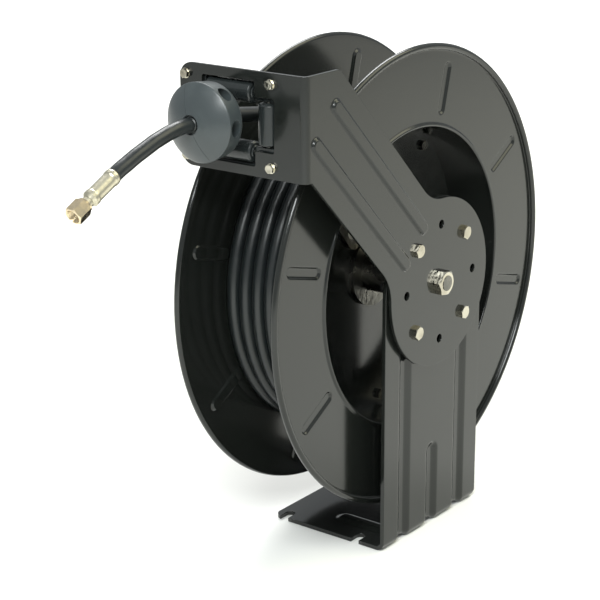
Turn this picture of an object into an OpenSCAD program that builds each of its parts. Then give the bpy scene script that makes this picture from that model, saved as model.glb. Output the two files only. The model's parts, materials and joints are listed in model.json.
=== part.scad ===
// Spring-rewind hose reel on a single pedestal: spool, power spring, latch, swivel,
// guide arm with a four-roller outlet, wound hose, hose stop and swivel end fitting.
// +Z is up, the axle runs along Y, the pedestal stands on the -Y side and the hose leaves
// towards -X. The origin is on the underside of the foot, below the middle of the spool.

/* [Spool] */
// Diameter over the rolled rims
rim_d = 480; // [470:2:490]
// Clear distance between the two flanges
flange_gap = 112; // [110:1:116]
// Outside diameter of the drum that the hose is wound on
drum_d = 317; // [316:1:318]
// Sheet thickness of the flanges and the drum
sheet_t = 2; // [1.8:0.1:2.2]
// Diameter of the rolled bead at the rim
curl_d = 7; // [6:0.5:8]
// Number of pressed ribs on each flange
flange_ribs = 8; // [6:1:10]

/* [Pedestal] */
// Height of the axle above the underside of the foot
axle_h = 272; // [270:1:290]
// Width of the pedestal and of the foot
pedestal_w = 176; // [170:1:182]
// Plate thickness of the pedestal
pedestal_t = 4.5; // [4:0.25:5]
// Depth of the foot from the outer face of the pedestal
foot_depth = 143; // [138:1:150]
// Distance from the middle of the spool to the outer face of the pedestal
pedestal_off = 83; // [82:0.5:85]
// Distance between the mounting slots, front to back
slot_gap = 93; // [88:1:94]
// Width of a mounting slot
slot_w = 10; // [9:0.5:11]

/* [Guide arm] */
// Plate thickness of the guide arm
arm_t = 3.5; // [3:0.25:4]
// Width of the guide arm
arm_w = 99; // [96:1:102]
// Diameter of the circle of index holes
index_pcd = 122; // [120:1:124]
// Number of index holes
index_holes = 8; // [8:4:8]
// Distance from the axle forward to the face of the outlet plate
outlet_x = 226; // [224:1:230]
// Height of the outlet above the axle
outlet_z = 195.5; // [194:0.5:197]

/* [Rollers] */
// Diameter of a guide roller
roller_d = 20; // [19:0.5:20.5]
// Diameter of a roller pin
pin_d = 5; // [4:0.5:5]

/* [Hose] */
// Outside diameter of the hose
hose_d = 14; // [13:0.1:14.4]
// Turns of hose on the drum
wraps = 7; // [5:1:7]

/* [Hose stop] */
// Diameter over the band of the hose stop
stop_d = 74.4; // [72:0.2:76]

/* [Hidden] */

$fn = 96;
tiny = 0.01;

// Spool stations, measured from the middle of the spool along Y
rim_r = rim_d / 2;
drum_r = drum_d / 2;
gap_y = flange_gap / 2;
case_y = 24;          // far end of the spring case, whose near wall starts at y = 0
case_r = 142;
bolt_circle_r = 147;
bolt_turn = 51;       // angle of the first case bolt
rib_turn = 30.3;      // angle of the first flange rib
rib_from = 167;
rib_to = 223;
rib_w = 14;
rib_h = 2.2;
window_r = drum_r - sheet_t - 1.5;

// Stationary axle
shaft_r = 12;
thread_r = 8;
flange_screw_r = 27;  // circle of the screws that hold the swivel to the hub
flange_screw_turn = 15;
play = 0.05;          // radial clearance of a running fit

// Pedestal
ped_in = -pedestal_off + pedestal_t;
bend_r = 9;
ped_rib_w = 12;
ped_rib_h = 4;
ped_rib_x = 52;
slot_x = 77;

// Guide arm
arm_out = -pedestal_off - arm_t;
arm_turn = 135;       // direction of the arm, turned up from +X
disc_r = 88;
fillet_r = 50;
arm_bend = 7;
plate_half_h = 49;
plate_end = 58;       // the outlet plate ends here on the far side
index_r = index_pcd / 2;
bolt_r = 4;

// Outlet rollers, measured from the middle of the outlet
out_h = axle_h + outlet_z;
roll_r = roller_d / 2;
roll_x = -outlet_x + 7;
roll_z = 27.7;        // horizontal rollers, up and down
roll_y = 42.5;        // upright rollers, near and far
flat_len = 54;
tall_len = 40;
cage_front = -outlet_x + arm_t;
cage_back = cage_front + 17;
screw_y = 50;
screw_z = 38.5;

// Hose
hose_r = hose_d / 2;
coil_r = drum_r + hose_r + 0.2;
coil_pitch = (flange_gap - 5 - hose_d) / (wraps - 1);
stop_x0 = -280.6;     // front of the stop
stop_x1 = -229;       // back of the stop
stop_band0 = -268;    // the band of the stop runs from here
stop_band1 = -248.5;  // to here
hose_h = axle_h + 200;
stop_r = stop_d / 2;

// Latch
ratchet_r = 34;
notches = 8;
pawl_turn = 130;      // angle of the pawl pin round the axle
pawl_r = 62;
pawl_len = 31;
pawl_rest = 40;       // angle of the pawl off the radius when it is clear

// Tail fitting, on the axis of the end of the free hose
tail_start = [-380, 0, 445.5];
tail_drop = 26.4;

// Route of the hose between the stop and the ferrule
route = [
    [stop_x0, 0, 472], [-284, 0, 472], [-291.5, 0, 471.8], [-298, 0, 471.3], [-304, 0, 470.4],
    [-310, 0, 469.4], [-316, 0, 468], [-322, 0, 466.5], [-328, 0, 465], [-334, 0, 463],
    [-340, 0, 461], [-346, 0, 459], [-352, 0, 457], [-358, 0, 454.7], [-364, 0, 452.3],
    [-370, 0, 450.1], [-375, 0, 448], [-380, 0, 445.5]];

/* Building blocks */

module rod_x(r, x0, x1) { translate([x0, 0, 0]) rotate([0, 90, 0]) cylinder(r = r, h = x1 - x0); }
module rod_y(r, y0, y1) { translate([0, y0, 0]) rotate([-90, 0, 0]) cylinder(r = r, h = y1 - y0); }
module rod_z(r, z0, z1) { translate([0, 0, z0]) cylinder(r = r, h = z1 - z0); }

// Hexagonal prism along Y with a given width across the flats
module hex_y(flats, y0, y1, turn = 0) {
    translate([0, y0, 0]) rotate([-90, turn, 0])
        cylinder(d = flats / cos(30), h = y1 - y0, $fn = 6);
}

// Outline in X and Z, given thickness from y0 to y1
module slab_y(y0, y1) { translate([0, y1, 0]) rotate([90, 0, 0]) linear_extrude(y1 - y0) children(); }

// Outline in Y and Z, given length from x0 to x1
module slab_x(x0, x1) { translate([x0, 0, 0]) rotate([90, 0, 90]) linear_extrude(x1 - x0) children(); }

// Profile of radius and Y, turned about the Y axis
module spun_y() { rotate([-90, 0, 0]) rotate_extrude() children(); }

// Flat ring about the Y axis
module ring_y(r_in, r_out, y0, y1) {
    spun_y() translate([r_in, y0]) square([r_out - r_in, y1 - y0]);
}

module at_axle() { translate([0, 0, axle_h]) children(); }
module at_outlet() { translate([0, 0, out_h]) children(); }

// Places a child at a radius and an angle round the axle, with +X pointing outwards
module round_axle(r, turn) { rotate([0, -turn, 0]) translate([r, 0, 0]) children(); }

module bar(x0, x1, w) {
    translate([x0, -w / 2]) square([x1 - x0, w]);
    translate([x0, 0]) circle(d = w);
    translate([x1, 0]) circle(d = w);
}

module rounded(w, h, r) {
    square([w - 2 * r, h], center = true);
    square([w, h - 2 * r], center = true);
    for (x = [-1, 1], y = [-1, 1]) translate([x * (w / 2 - r), y * (h / 2 - r)]) circle(r = r);
}

module rod_between(a, b, r) {
    d = b - a;
    length = norm(d);
    translate(a) rotate([0, acos(d[2] / length), atan2(d[1], d[0])]) cylinder(r = r, h = length);
}

/* Pedestal and foot */

// L-shaped band in Y and Z, between two depths below the outer surface
module bent_band(from, to) {
    top = axle_h + disc_r + 1;
    centre = [-pedestal_off + bend_r, bend_r];
    translate([-pedestal_off + from, bend_r]) square([to - from, top - bend_r]);
    translate([-pedestal_off + bend_r, from]) square([foot_depth - bend_r, to - from]);
    intersection() {
        translate(centre) difference() {
            circle(r = bend_r - from);
            circle(r = bend_r - to);
        }
        translate(centre - [bend_r + 1, bend_r + 1]) square(bend_r + 1);
    }
}

// Space that one rib of the pedestal takes, seen from the front and from above
module rib_space(x, w, top, reach) {
    translate([x - w / 2, -pedestal_off - 1, -1]) cube([w, reach + 1, top + 1]);
    translate([x, 0, top]) rod_y(w / 2, -pedestal_off - 1, -pedestal_off + 12);
    translate([x, -pedestal_off + reach, 0]) rod_z(w / 2, -1, 12);
}

module pedestal_rib_places() {
    for (x = [-ped_rib_x, ped_rib_x]) rib_space(x, $rib_w, axle_h - 66, 74);
    rib_space(0, $rib_w, 84, 30);
}

module foot_slot(side, y) {
    translate([side * slot_x, y, 0]) {
        rod_z(slot_w / 2, -1, pedestal_t + 1);
        translate([side > 0 ? 0 : -30, -slot_w / 2, -1]) cube([30, slot_w, pedestal_t + 2]);
    }
}

module index_circle(r, y0, y1) {
    for (i = [0 : index_holes - 1]) round_axle(index_r, i * 360 / index_holes) rod_y(r, y0, y1);
}

module pedestal() color("dimgray") {
    half = pedestal_w / 2;
    foot_end = -pedestal_off + foot_depth;
    corner = 9;
    difference() {
        union() {
            intersection() {
                slab_x(-half, half) bent_band(0, pedestal_t);
                union() {
                    translate([-half, -pedestal_off - 1, -1]) cube([2 * half, foot_depth + 2, axle_h + 1]);
                    at_axle() rod_y(half, -pedestal_off - 1, 0);
                }
            }
            intersection() {
                slab_x(-half, half) bent_band(ped_rib_h, ped_rib_h + pedestal_t - 0.5);
                pedestal_rib_places($rib_w = ped_rib_w + 6);
            }
        }
        intersection() {
            slab_x(-half, half) bent_band(-1, ped_rib_h);
            pedestal_rib_places($rib_w = ped_rib_w);
        }
        for (side = [-1, 1]) {
            foot_slot(side, slot_gap / 2);
            foot_slot(side, -slot_gap / 2);
            difference() {
                translate([side > 0 ? half - corner : -half - 1, foot_end - corner, -1])
                    cube([corner + 1, corner + 1, pedestal_t + 2]);
                translate([side * (half - corner), foot_end - corner, 0])
                    rod_z(corner, -2, pedestal_t + 2);
            }
        }
        at_axle() {
            rod_y(thread_r + 0.3, -pedestal_off - 1, ped_in + 1);
            index_circle(bolt_r + 0.5, -pedestal_off - 1, ped_in + 1);
        }
    }
}

/* Guide arm */

// Outline of the arm about the axle, as far as its bend
module arm_outline() {
    half = arm_w / 2;
    along = sqrt(pow(disc_r + fillet_r, 2) - pow(half + fillet_r, 2));
    edge = -outlet_x + arm_bend;
    top = outlet_z + plate_half_h;
    bottom = outlet_z - plate_half_h;
    circle(r = disc_r);
    rotate(arm_turn) for (side = [-1, 1]) difference() {
        polygon([[0, 0], [along, 0], [along, side * (half + fillet_r)]]);
        translate([along, side * (half + fillet_r)]) circle(r = fillet_r);
    }
    intersection() {
        rotate(arm_turn) translate([0, -half]) square([420, arm_w]);
        translate([edge, -10]) square([240, top + 10]);
    }
    translate([edge, bottom]) square([10, 2 * plate_half_h]);
}

module arm_ribs(w, from, to) {
    at_axle() slab_y(from, to) rotate(arm_turn) for (side = [-1, 1])
        translate([0, side * 21.5]) bar(70, 277, w);
}

module outlet_window() {
    square([62, 79], center = true);
    square([106, 50], center = true);
}

module outlet_plate() {
    half = plate_half_h;
    round_r = 14;
    difference() {
        union() {
            translate([-pedestal_off - arm_t + arm_bend, -half])
                square([plate_end - round_r + pedestal_off + arm_t - arm_bend, 2 * half]);
            translate([plate_end - round_r - tiny, -half + round_r]) square([round_r + tiny, 2 * (half - round_r)]);
            for (side = [-1, 1]) translate([plate_end - round_r, side * (half - round_r)]) circle(r = round_r);
        }
        outlet_window();
        for (y = [-1, 1], z = [-1, 1]) translate([y * screw_y, z * screw_z]) circle(r = 2.8);
    }
}

module guide_arm() color("dimgray") {
    difference() {
        union() {
            at_axle() slab_y(arm_out, -pedestal_off) arm_outline();
            arm_ribs(15, arm_out - 3, arm_out + tiny);
        }
        arm_ribs(10, arm_out - 0.2, -pedestal_off + 1);
        at_axle() {
            rod_y(thread_r + 0.3, arm_out - 1, -pedestal_off + 1);
            index_circle(bolt_r + 0.5, arm_out - 1, -pedestal_off + 1);
        }
    }
    at_outlet() {
        slab_x(-outlet_x, -outlet_x + arm_t) outlet_plate();
        translate([-outlet_x + arm_bend, arm_out + arm_bend, -plate_half_h])
            linear_extrude(2 * plate_half_h) intersection() {
                difference() {
                    circle(r = arm_bend);
                    circle(r = arm_bend - arm_t);
                }
                translate([-arm_bend - 1, -arm_bend - 1]) square(arm_bend + 1);
            }
    }
}

// Places a child at each of the four bolts that hold the arm
module at_arm_bolts() {
    at_axle() for (i = [0 : 3]) round_axle(index_r, 45 + 90 * i) children();
}

module arm_bolts() color("khaki") at_arm_bolts() {
    hex_y(13, arm_out - 7.7, arm_out - 2.2, 12);
    rod_y(bolt_r, arm_out - 3, ped_in + 9);
}

module arm_lock_washers() color("silver") at_arm_bolts()
    ring_y(bolt_r + 0.1, 7, arm_out - 2.2, arm_out);

module arm_nuts() color("silver") at_arm_bolts() difference() {
    hex_y(13, ped_in, ped_in + 6.5);
    rod_y(bolt_r, ped_in - 1, ped_in + 8);
}

/* Outlet rollers */

module roller_frame() color("#2b2d2f") at_outlet() {
    depth = cage_back - cage_front;
    difference() {
        slab_x(cage_front, cage_back) difference() {
            rounded(110, 90, 6);
            square([58, 77], center = true);
            square([107, 42.4], center = true);
        }
        for (side = [-1, 1]) {
            translate([roll_x, 0, side * roll_z]) rod_y(pin_d / 2 + 0.05, -36, 36);
            translate([cage_front - 1, -36, side * roll_z - pin_d / 2 - 0.05])
                cube([roll_x - cage_front + 1, 72, pin_d + 0.1]);
            translate([roll_x, side * roll_y, 0]) rod_z(pin_d / 2 + 0.05, -31.5, 31.5);
            translate([cage_front - 1, side * roll_y - pin_d / 2 - 0.05, -31.5])
                cube([roll_x - cage_front + 1, pin_d + 0.1, 63]);
        }
        for (y = [-1, 1], z = [-1, 1])
            translate([0, y * screw_y, z * screw_z]) rod_x(2.5, cage_front - 1, cage_back + 1);
    }
}

module frame_screws() color("khaki") at_outlet()
    for (y = [-1, 1], z = [-1, 1]) translate([-outlet_x, y * screw_y, z * screw_z]) {
        rod_x(2.5, -2, 15);
        rod_x(5, -1.2, 0);
        translate([-4.7, 0, 0]) rotate([0, 90, 0]) cylinder(d = 8 / cos(30), h = 3.5, $fn = 6);
    }

module roller_pins() color("silver") at_outlet() for (side = [-1, 1]) {
    translate([roll_x, 0, side * roll_z]) rod_y(pin_d / 2, -35.5, 35.5);
    translate([roll_x, side * roll_y, 0]) rod_z(pin_d / 2, -31, 31);
}

// Guide roller along Z, with a bore and bevelled ends
module roller(length) {
    half = length / 2;
    rotate_extrude() polygon([
        [pin_d / 2 + play, -half], [roll_r - 1.2, -half], [roll_r, -half + 1.2],
        [roll_r, half - 1.2], [roll_r - 1.2, half], [pin_d / 2 + play, half]]);
}

module roller_top() color("#303234") at_outlet()
    translate([roll_x, 0, roll_z]) rotate([-90, 0, 0]) roller(flat_len);
module roller_bottom() color("#303234") at_outlet()
    translate([roll_x, 0, -roll_z]) rotate([-90, 0, 0]) roller(flat_len);
module roller_near() color("#303234") at_outlet() translate([roll_x, -roll_y, 0]) roller(tall_len);
module roller_far() color("#303234") at_outlet() translate([roll_x, roll_y, 0]) roller(tall_len);

/* Stationary axle */

module axle_shaft() color("silver") at_axle() difference() {
    union() {
        rod_y(thread_r, arm_out - 12, ped_in);
        rod_y(16, ped_in, -72);
        rod_y(shaft_r, -72, 78);
    }
    rod_y(5, 40, 79);
    translate([0, 47, 0]) rod_z(3.5, -shaft_r - 1, shaft_r + 1);
    ring_y(shaft_r - 1, shaft_r + 1, 60.6, 62.1);
}

module axle_washer() color("khaki") at_axle() ring_y(thread_r + 0.3, 14, arm_out - 2.5, arm_out);

module axle_nut() color("khaki") at_axle() difference() {
    hex_y(24, arm_out - 11.5, arm_out - 2.5);
    rod_y(thread_r, arm_out - 13, arm_out);
}

module axle_spacer() color("silver") at_axle() ring_y(shaft_r, 17, -72, -46);

module ratchet_wheel() color("darkgray") at_axle() difference() {
    ring_y(shaft_r, ratchet_r, -46, -38);
    for (i = [0 : notches - 1]) round_axle(ratchet_r, pawl_turn + i * 360 / notches)
        slab_y(-47, -37) polygon([[-8, 6], [-8, -6], [3, -15], [3, 6]]);
}

module thrust_washer() color("ivory") at_axle() ring_y(shaft_r + 0.1, 20, -37.8, -36.3);

module spring_arbor() color("silver") at_axle() ring_y(shaft_r, 24, 3, 21);

module retaining_ring() color("dimgray") at_axle() ring_y(shaft_r - 1, 16, 60.7, 62);

module inlet_port() color("darkkhaki") at_axle() difference() {
    union() {
        hex_y(30, 66, 84);
        rod_y(13, 84, 92);
    }
    rod_y(shaft_r, 65, 78);
    rod_y(5, 77, 81);
    rod_y(7.5, 80, 93);
}

/* Spool */

// Profile of one flange on the far side, from its inner lip to its rolled rim
module flange_profile() {
    translate([window_r, gap_y]) square([rim_r - curl_d / 2 - window_r, sheet_t]);
    translate([rim_r - curl_d / 2, gap_y + curl_d / 2]) circle(d = curl_d);
    translate([window_r + 2, gap_y + 2]) circle(r = 2);
}

module flange_rib_places(w, y0, y1) {
    slab_y(y0, y1) for (i = [0 : flange_ribs - 1])
        rotate(rib_turn + i * 360 / flange_ribs) bar(rib_from + w / 2, rib_to - w / 2, w);
}

module flange() {
    difference() {
        union() {
            spun_y() flange_profile();
            flange_rib_places(rib_w, gap_y - rib_h, gap_y + tiny);
        }
        flange_rib_places(rib_w - 4, gap_y + sheet_t - rib_h, gap_y + sheet_t + 1);
    }
}

module near_flange() color("dimgray") at_axle() mirror([0, 1, 0]) flange();
module far_flange() color("dimgray") at_axle() flange();

module drum() color("dimgray") at_axle() difference() {
    ring_y(drum_r - sheet_t, drum_r, -gap_y, gap_y);
    round_axle(0, riser_turn) translate([0, riser_y, 0]) rod_x(hose_r + 0.3, 100, drum_r + 1);
}

module at_case_bolts() {
    at_axle() for (i = [0 : 7]) round_axle(bolt_circle_r, bolt_turn + 45 * i) children();
}

module bolt_bosses() {
    for (i = [0 : 7]) rotate(bolt_turn + 45 * i) {
        translate([case_r - 1, -6]) square([bolt_circle_r - case_r + 1, 12]);
        translate([bolt_circle_r, 0]) circle(r = 6);
    }
}

module spring_case() color("#33373a") difference() {
    at_axle() {
        ring_y(24.1, drum_r - sheet_t - 0.1, -3, 0);
        slab_y(-1, case_y) difference() {
            union() {
                circle(r = case_r);
                bolt_bosses();
            }
            circle(r = case_r - 2);
        }
    }
    at_case_bolts() rod_y(3, -4, case_y + 1);
}

module case_cover() color("#33373a") difference() {
    at_axle() ring_y(24.1, bolt_circle_r + 6, case_y, case_y + 3);
    at_case_bolts() rod_y(3, case_y - 1, case_y + 4);
}

module case_bolts() color("silver") at_case_bolts() {
    hex_y(10, -7, -3);
    rod_y(3, -4, case_y + 9);
}

module case_nuts() color("silver") at_case_bolts() difference() {
    hex_y(10, case_y + 3, case_y + 8);
    rod_y(3, case_y + 2, case_y + 10);
}

module near_hub() color("gray") at_axle() {
    ring_y(16, 24, -36, 0);
    ring_y(20, 40, -8, -3);
}

module far_hub() color("gray") at_axle() difference() {
    union() {
        ring_y(16, 24, case_y, 34);
        ring_y(20, 36, 27, 34);
    }
    for (i = [0 : 3]) round_axle(flange_screw_r, flange_screw_turn + 90 * i) rod_y(2.5, 26, 35);
}

module near_bush() color("peru") at_axle() ring_y(shaft_r + play, 16, -36, 0);
module far_bush() color("peru") at_axle() ring_y(shaft_r + play, 16, case_y, 34);

// Flat spiral strip between the arbor and the wall of the case
spring_turns = 9;
spring_steps = 24;
spring_from = 27;
spring_to = 137;
function spiral_at(step, side) =
    let (last = spring_turns * spring_steps, turn = step * 360 / spring_steps,
         r = spring_from + (spring_to - spring_from) * step / last + side * 0.6)
    [r * cos(turn), r * sin(turn)];

module power_spring() color("steelblue") at_axle() slab_y(4, 20)
    polygon([for (i = [0 : spring_turns * spring_steps]) spiral_at(i, 1),
             for (i = [spring_turns * spring_steps : -1 : 0]) spiral_at(i, -1)]);

/* Latch */

module at_pawl() { at_axle() round_axle(pawl_r, pawl_turn) children(); }

module pawl_bracket() color("lightgray") difference() {
    at_pawl() slab_y(-7, -3) bar(-8, 26, 26);
    at_pawl() rod_y(4, -8, -2);
    at_pawl() translate([24, 0, 0]) rod_y(3, -8, -2);
}

module pawl_pin() color("silver") at_pawl() {
    rod_y(4, -50, -3);
    rod_y(7, -52, -48);
    translate([24, 0, 0]) {
        rod_y(3, -8, -3);
        hex_y(10, -11, -7);
    }
}

module pawl_spacer() color("ivory") at_pawl() ring_y(4.1, 7, -37.6, -7);

module pawl_spring() color("silver") at_pawl() {
    for (i = [0 : 5]) spun_y() translate([8.5, -35 + i * 2.2]) circle(d = 1.6, $fn = 24);
    translate([0, -22, 0]) rod_between([8.5, 0, 0], [20, 0, 8], 0.8);
}

module latch_pawl() color("lightgray") at_pawl() rotate([0, 180 - pawl_rest, 0]) difference() {
    slab_y(-46, -38) {
        circle(r = 9);
        translate([0, -3.5]) square([pawl_len - 1, 7]);
        translate([pawl_len - 1, 0]) intersection() {
            circle(r = 3.5);
            translate([0, -3.5]) square([1, 7]);
        }
    }
    rod_y(4 + play, -47, -37);
}

/* Fluid path from the swivel to the wound hose */

riser_turn = 60;      // direction of the riser, turned up from +X
riser_y = 47;
module along_riser() { at_axle() round_axle(0, riser_turn) translate([0, riser_y, 0]) children(); }

swivel_r = 21;
seal_places = [42, 56];

// Half section of the swivel body, with its flange, its bore and two seal grooves
module swivel_profile() {
    difference() {
        translate([shaft_r + play, 34]) square([swivel_r - shaft_r - play, 26]);
        for (y = seal_places) translate([shaft_r, y - 1.6]) square([3.5, 3.2]);
    }
    translate([swivel_r - tiny, 34]) square([9 + tiny, 5]);
}

module swivel_body() color("darkkhaki") difference() {
    at_axle() spun_y() swivel_profile();
    at_axle() for (i = [0 : 3]) round_axle(flange_screw_r, flange_screw_turn + 90 * i) rod_y(2.5, 33, 40);
    along_riser() rod_x(3.5, 5, 31);
}

module riser_fitting() color("darkkhaki") along_riser() difference() {
    union() {
        translate([19.5, 0, 0]) rotate([0, 90, 0]) cylinder(d = 15 / cos(30), h = 6.5, $fn = 6);
        rod_x(7.2, 26, 34);
    }
    rod_x(3.5, 19, 30);
    rod_x(6, 30, 35);
}

module swivel_seals() color("black") at_axle() for (y = seal_places)
    spun_y() translate([13.9, y]) circle(r = 1.5);

module swivel_screws() color("silver") at_axle() for (i = [0 : 3])
    round_axle(flange_screw_r, flange_screw_turn + 90 * i) {
        rod_y(2.5, 27.5, 40);
        rod_y(2.9, 39, 42);
    }

module riser_pipe() color("#33373a") along_riser() difference() {
    rod_x(6, 30, 122);
    rod_x(4, 29, 123);
}

module hose_coupling() color("darkkhaki") along_riser() difference() {
    union() {
        translate([108, 0, 0]) rotate([0, 90, 0]) cylinder(d = 17 / cos(30), h = 14, $fn = 6);
        rod_x(7.8, 122, 140);
    }
    rod_x(6, 107, 122);
    rod_x(4, 121, 141);
}

module hose_tail() color("#26282a") along_riser() rod_x(hose_r, 140, drum_r - 0.3);

/* Hose */

// Closed turns on a thin sleeve that keeps them one solid
module wound_hose() color("#26282a") at_axle() spun_y() {
    half = (wraps - 1) / 2;
    for (i = [-half : half]) translate([coil_r, i * coil_pitch]) circle(r = hose_r, $fn = 48);
    translate([coil_r - 2, -half * coil_pitch]) square([4, 2 * half * coil_pitch]);
}

// Run from the top of the coil to the stop: straight, then a slight bend behind the stop
lead_bend = 60;
lead_apart = [-stop_x1, axle_h - hose_h + lead_bend];
lead_slope = -atan2(lead_apart[1], lead_apart[0]) - asin((coil_r - lead_bend) / norm(lead_apart));
lead_gap = 76;        // clear of the coil, measured from where the hose leaves it
lead_run = sqrt(pow(norm(lead_apart), 2) - pow(coil_r - lead_bend, 2)) - lead_gap;

module leading_hose() color("#26282a") {
    translate([0, 0, hose_h]) rod_x(hose_r, stop_x0, stop_x1);
    translate([stop_x1, 0, hose_h - lead_bend]) rotate([90, lead_slope - 90, 0]) {
        rotate_extrude(angle = lead_slope) translate([lead_bend, 0]) circle(r = hose_r);
        translate([lead_bend, 0, 0]) rotate([90, 0, 0]) cylinder(r = hose_r, h = lead_run);
    }
}

// Half outline of the stop: a domed front, a band that narrows, a rounded back and a collar
stop_back_r = stop_r - 2.2;
module stop_profile() {
    difference() {
        union() {
            intersection() {
                translate([0, -221.7]) circle(r = 59.4);
                translate([0, stop_x0]) square([stop_r, stop_band0 - stop_x0 + tiny]);
            }
            polygon([[0, stop_band0], [stop_r, stop_band0], [stop_back_r, stop_band1], [0, stop_band1]]);
            intersection() {
                translate([0, -285.25]) circle(r = 50.75);
                translate([0, stop_band1 - tiny]) square([stop_back_r, 12.5]);
            }
            translate([0, -240]) square([12, stop_x1 + 240]);
        }
        translate([-1, stop_x0 - 1]) square([hose_r + 1, stop_x1 - stop_x0 + 2]);
        translate([0, stop_x0 - 1]) square([hose_r + 1.5, 4]);
    }
}

// Each half faces -Y or +Y in the frame of the stop, which is turned about the hose
stop_turn = 22.5;
stop_bolt_z = 16;
stop_bolt_x = -258.5;
module at_stop() { translate([0, 0, hose_h]) rotate([-stop_turn, 0, 0]) children(); }
module at_stop_bolts() { at_stop() for (z = [-1, 1]) translate([stop_bolt_x, 0, z * stop_bolt_z]) children(); }

module stop_half(side) {
    difference() {
        at_stop() intersection() {
            rotate([0, 90, 0]) rotate_extrude() stop_profile();
            translate([-300, side > 0 ? 0.1 : -60.1, -60]) cube([80, 60, 120]);
        }
        at_stop_bolts() {
            rod_y(2.7, -60, 60);
            rod_y(6.8, side > 0 ? 14 : -60, side > 0 ? 60 : -14);
        }
    }
}

module stop_half_near() color("slategray") stop_half(-1);
module stop_half_far() color("slategray") stop_half(1);

module stop_screws() color("khaki") at_stop_bolts() {
    rod_y(4.25, -19, -14);
    rod_y(2.5, -15, 18);
}

module stop_nuts() color("khaki") at_stop_bolts() difference() {
    hex_y(8, 14, 18);
    rod_y(2.5, 13, 20);
}

// Tube swept along the route: one ring of points at each place on it
cord_sides = 12;
function heading(i) =
    let (a = route[max(i - 1, 0)], b = route[min(i + 1, len(route) - 1)], d = b - a) d / norm(d);
function ring_point(i, k) =
    let (d = heading(i), up = [-d[2], 0, d[0]], turn = k * 360 / cord_sides)
    route[i] + hose_r * (cos(turn) * [0, 1, 0] + sin(turn) * up);

module free_hose() color("#26282a") {
    rings = len(route);
    polyhedron(
        points = [for (i = [0 : rings - 1], k = [0 : cord_sides - 1]) ring_point(i, k)],
        faces = concat(
            [[for (k = [0 : cord_sides - 1]) k]],
            [[for (k = [cord_sides - 1 : -1 : 0]) (rings - 1) * cord_sides + k]],
            [for (i = [0 : rings - 2], k = [0 : cord_sides - 1])
                let (n = (k + 1) % cord_sides, a = i * cord_sides)
                [a + n, a + k, a + cord_sides + k, a + cord_sides + n]]));
}

// Frame of the tail fitting: +Z runs out along the end of the hose
module on_tail() { translate(tail_start) rotate([0, -90 - tail_drop, 0]) children(); }

module ferrule() color("darkkhaki") on_tail() difference() {
    rotate_extrude() polygon([
        [4, 0], [7.2, 0], [7.8, 0.8], [7.8, 5], [7.1, 6], [7.1, 10], [7.6, 11], [7.1, 12],
        [7.1, 16], [7.6, 17], [7.1, 18], [7.1, 22], [7.6, 23], [7.1, 24], [7.1, 28], [7.8, 29.5],
        [7.8, 33], [5.5, 36], [4, 36]]);
}

module hose_stem() color("darkkhaki") on_tail() difference() {
    union() {
        rod_z(4, 0, 37);
        rod_z(5.4, 36, 39.5);
        rod_z(4.5, 39, 46);
        rod_z(5.6, 45, 47);
    }
    rod_z(2.6, -1, 48);
}

module swivel_nut() color("goldenrod") on_tail() difference() {
    translate([0, 0, 40]) cylinder(d = 16 / cos(30), h = 17.5, $fn = 6);
    rod_z(4.5 + play, 39, 46);
    rod_z(6.2, 44.5, 47.6);
    rod_z(5.9, 47.5, 58);
}

pedestal();
guide_arm();
arm_bolts();
arm_lock_washers();
arm_nuts();
roller_frame();
frame_screws();
roller_pins();
roller_top();
roller_bottom();
roller_near();
roller_far();
axle_shaft();
axle_washer();
axle_nut();
axle_spacer();
ratchet_wheel();
thrust_washer();
spring_arbor();
retaining_ring();
inlet_port();
near_flange();
far_flange();
drum();
spring_case();
case_cover();
case_bolts();
case_nuts();
near_hub();
far_hub();
near_bush();
far_bush();
power_spring();
pawl_bracket();
pawl_pin();
pawl_spacer();
pawl_spring();
latch_pawl();
swivel_body();
swivel_seals();
swivel_screws();
riser_fitting();
riser_pipe();
hose_coupling();
hose_tail();
wound_hose();
leading_hose();
stop_half_near();
stop_half_far();
stop_screws();
stop_nuts();
free_hose();
ferrule();
hose_stem();
swivel_nut();
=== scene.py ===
import json
import math

import bpy
import numpy as np
from mathutils import Matrix, Vector
from mathutils.geometry import delaunay_2d_cdt


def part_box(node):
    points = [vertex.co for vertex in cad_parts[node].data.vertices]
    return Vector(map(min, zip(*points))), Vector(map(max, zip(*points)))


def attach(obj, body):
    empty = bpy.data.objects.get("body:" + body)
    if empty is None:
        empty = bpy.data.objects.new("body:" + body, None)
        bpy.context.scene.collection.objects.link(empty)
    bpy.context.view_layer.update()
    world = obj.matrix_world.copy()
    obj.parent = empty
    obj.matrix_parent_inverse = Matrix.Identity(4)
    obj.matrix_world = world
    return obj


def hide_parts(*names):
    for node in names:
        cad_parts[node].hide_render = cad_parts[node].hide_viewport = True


# Spring-rewind hose reel. Shapes are worked out in millimetres in the row frame
# and become metres when a piece is made.

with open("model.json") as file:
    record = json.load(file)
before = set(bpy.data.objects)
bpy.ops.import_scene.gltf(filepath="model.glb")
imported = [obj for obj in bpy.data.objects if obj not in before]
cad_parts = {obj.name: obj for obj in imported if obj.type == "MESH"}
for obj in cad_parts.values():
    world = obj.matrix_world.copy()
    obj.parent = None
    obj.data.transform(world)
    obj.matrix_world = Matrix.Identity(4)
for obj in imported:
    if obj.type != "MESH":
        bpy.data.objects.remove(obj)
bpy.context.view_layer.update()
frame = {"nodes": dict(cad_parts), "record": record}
millimetre = 0.001


def nodeSpan(node):
    low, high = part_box(node)
    return np.array(low) / millimetre, np.array(high) / millimetre


def nodeCentre(node):
    low, high = nodeSpan(node)
    return (low + high) / 2


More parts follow.
